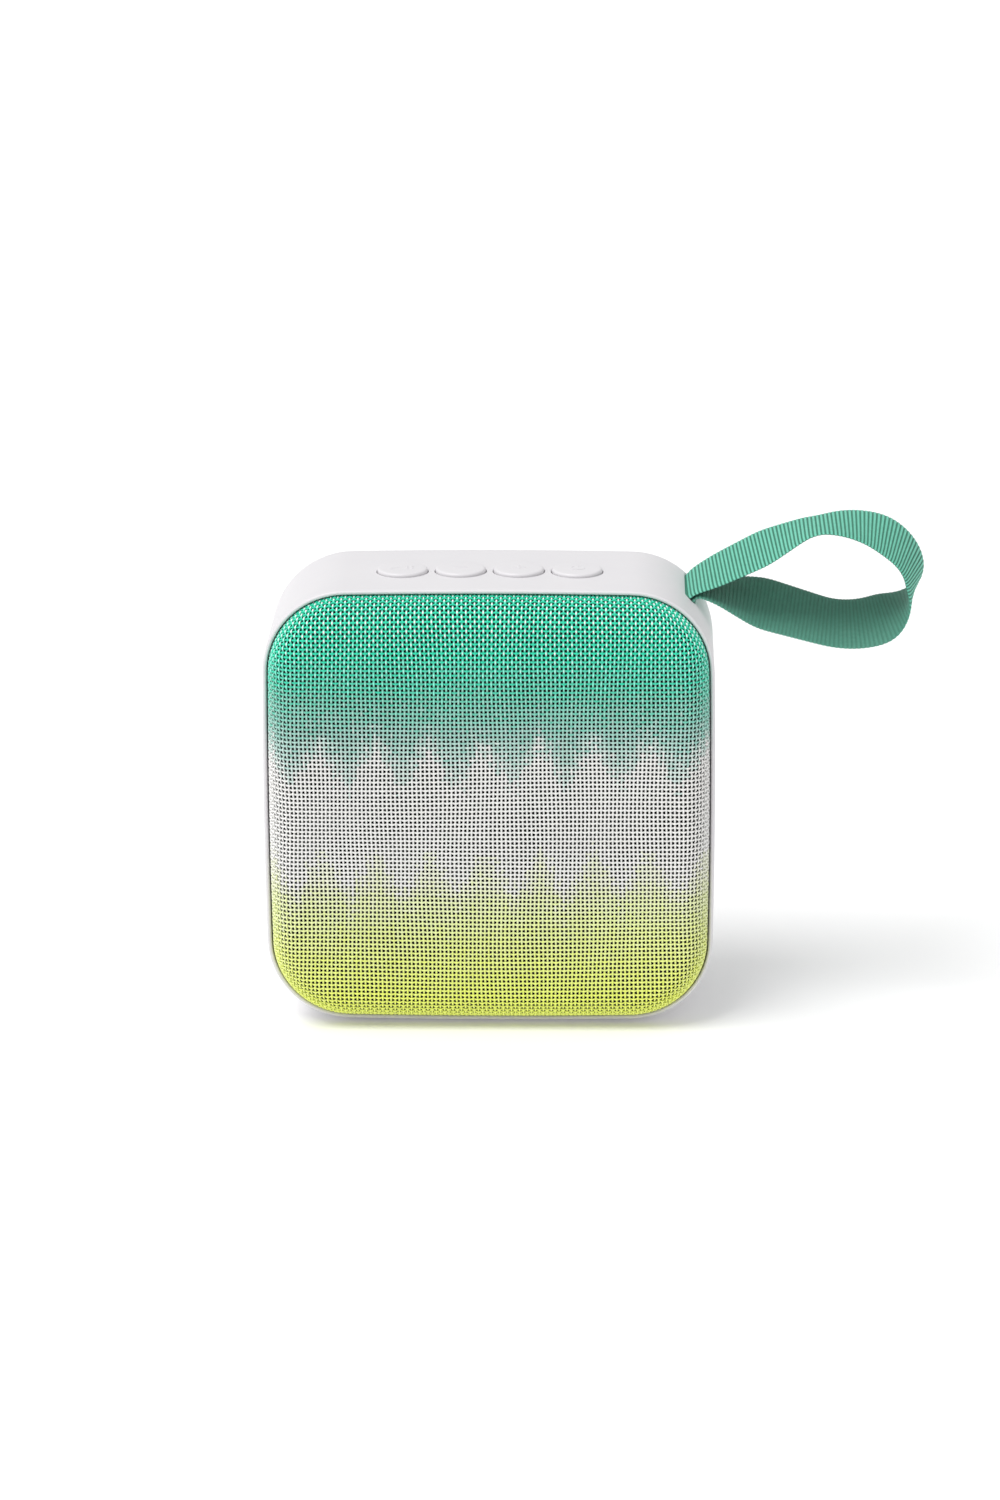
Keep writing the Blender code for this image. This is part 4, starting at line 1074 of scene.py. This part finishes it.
# ---- what the CAD carries over ----
def finish_cad_nodes():
    """Every CAD solid that still shows gets the finish of its own material slot."""
    finishes = {
        "white_abs": white_plastic,
        "black_abs": lambda: moulded("black_plastic", (0.012, 0.012, 0.013), (0.03, 0.03, 0.032), 0.5),
        "rubber": rubber,
        "foam": foam,
        "stamped_steel": plated_steel,
        "ferrite": ferrite,
        "cone_paper": cone_paper,
        "copper": copper,
        "circuit_board": circuit_board,
        "chip_epoxy": lambda: moulded("chip_epoxy", (0.01, 0.01, 0.011), (0.025, 0.025, 0.026), 0.45),
        "cell_wrap": cell_wrap,
        "light_pipe": light_pipe,
        "red_wire": lambda: wire_sleeve("red_wire", (0.45, 0.015, 0.01), (0.65, 0.04, 0.03)),
        "black_wire": lambda: wire_sleeve("black_wire", (0.012, 0.012, 0.012), (0.03, 0.03, 0.03)),
    }
    made = {}
    for part in frame["record"]["subparts"]:
        node, slot = part["node"], part["material_slot"]
        if frame["nodes"][node].hide_render or slot not in finishes:
            continue
        if slot not in made:
            made[slot] = finishes[slot]()
        surface = frame["nodes"][node]
        surface.data.materials.clear()
        surface.data.materials.append(made[slot])


# ---- studio ----
SKY_LEFT, SKY_RIGHT = 0.75, 0.5  # brightness of the surroundings
KEY_STRENGTH, KEY_SPREAD = 1.8, math.radians(35)
TO_KEY = Vector((-0.35, -0.25, 0.9))
AZIMUTH, ELEVATION, ROLL = math.radians(-1.62), math.radians(17.29), math.radians(-0.32)
TARGET = Vector((1.83 * MM, -3.05 * MM, 51.75 * MM))  # what the camera looks at
DISTANCE = 949 * MM
LENS, SENSOR = 118.57, 36  # millimetres, the sensor's height


def floor():
    """A plain pale floor that runs out of the picture."""
    work = bmesh.new()
    bmesh.ops.create_circle(work, cap_ends=True, segments=64, radius=12)
    plain = link("floor", finish_mesh(work, "floor"))
    made = Finish("floor", (0.93, 0.93, 0.93), 0.8)
    made.set("Emission Color", (1, 1, 1, 1))
    made.set("Emission Strength", 0.1)
    made.vary("Roughness", made.noise(0.2), 0.75, 0.9)
    plain.data.materials.append(made.material)


def studio():
    """Light from everywhere, stronger from the left, and a broad soft key from above on that side."""
    world = bpy.data.worlds.new("studio")
    bpy.context.scene.world = world
    world.use_nodes = True
    nodes, links = world.node_tree.nodes, world.node_tree.links
    direction = nodes.new("ShaderNodeTexCoord").outputs["Generated"]
    parts = nodes.new("ShaderNodeSeparateXYZ")
    links.new(direction, parts.inputs["Vector"])
    strength = nodes.new("ShaderNodeMapRange")
    strength.inputs["From Min"].default_value = -1
    strength.inputs["To Min"].default_value = SKY_LEFT
    strength.inputs["To Max"].default_value = SKY_RIGHT
    links.new(parts.outputs["X"], strength.inputs["Value"])
    sky = nodes["Background"]
    sky.inputs["Color"].default_value = (1, 1, 1, 1)
    links.new(strength.outputs["Result"], sky.inputs["Strength"])
    key = bpy.data.lights.new("key", "SUN")
    key.energy = KEY_STRENGTH
    key.angle = KEY_SPREAD
    lamp = bpy.data.objects.new("key", key)
    bpy.context.scene.collection.objects.link(lamp)
    lamp.rotation_euler = TO_KEY.to_track_quat("Z", "Y").to_euler()
    bpy.context.scene.view_settings.view_transform = "Standard"


def camera():
    """A long lens from in front and above, turned a little to the right."""
    forward = Vector((
        math.sin(AZIMUTH) * math.cos(ELEVATION),
        math.cos(AZIMUTH) * math.cos(ELEVATION),
        -math.sin(ELEVATION),
    ))
    data = bpy.data.cameras.new("camera")
    data.lens = LENS
    data.sensor_fit = "VERTICAL"
    data.sensor_height = SENSOR
    data.clip_start, data.clip_end = 0.05, 50
    made = bpy.data.objects.new("camera", data)
    bpy.context.scene.collection.objects.link(made)
    made.location = TARGET - forward * DISTANCE
    look = forward.to_track_quat("-Z", "Y").to_matrix()
    made.rotation_euler = (look @ Matrix.Rotation(ROLL, 3, "Z")).to_euler()
    bpy.context.scene.camera = made


casing_plastic = white_plastic()
shell_piece(casing_plastic)
button_caps(casing_plastic)
grille_cloth()
strap_piece()
foot_piece(rubber())
finish_cad_nodes()
floor()
studio()
camera()
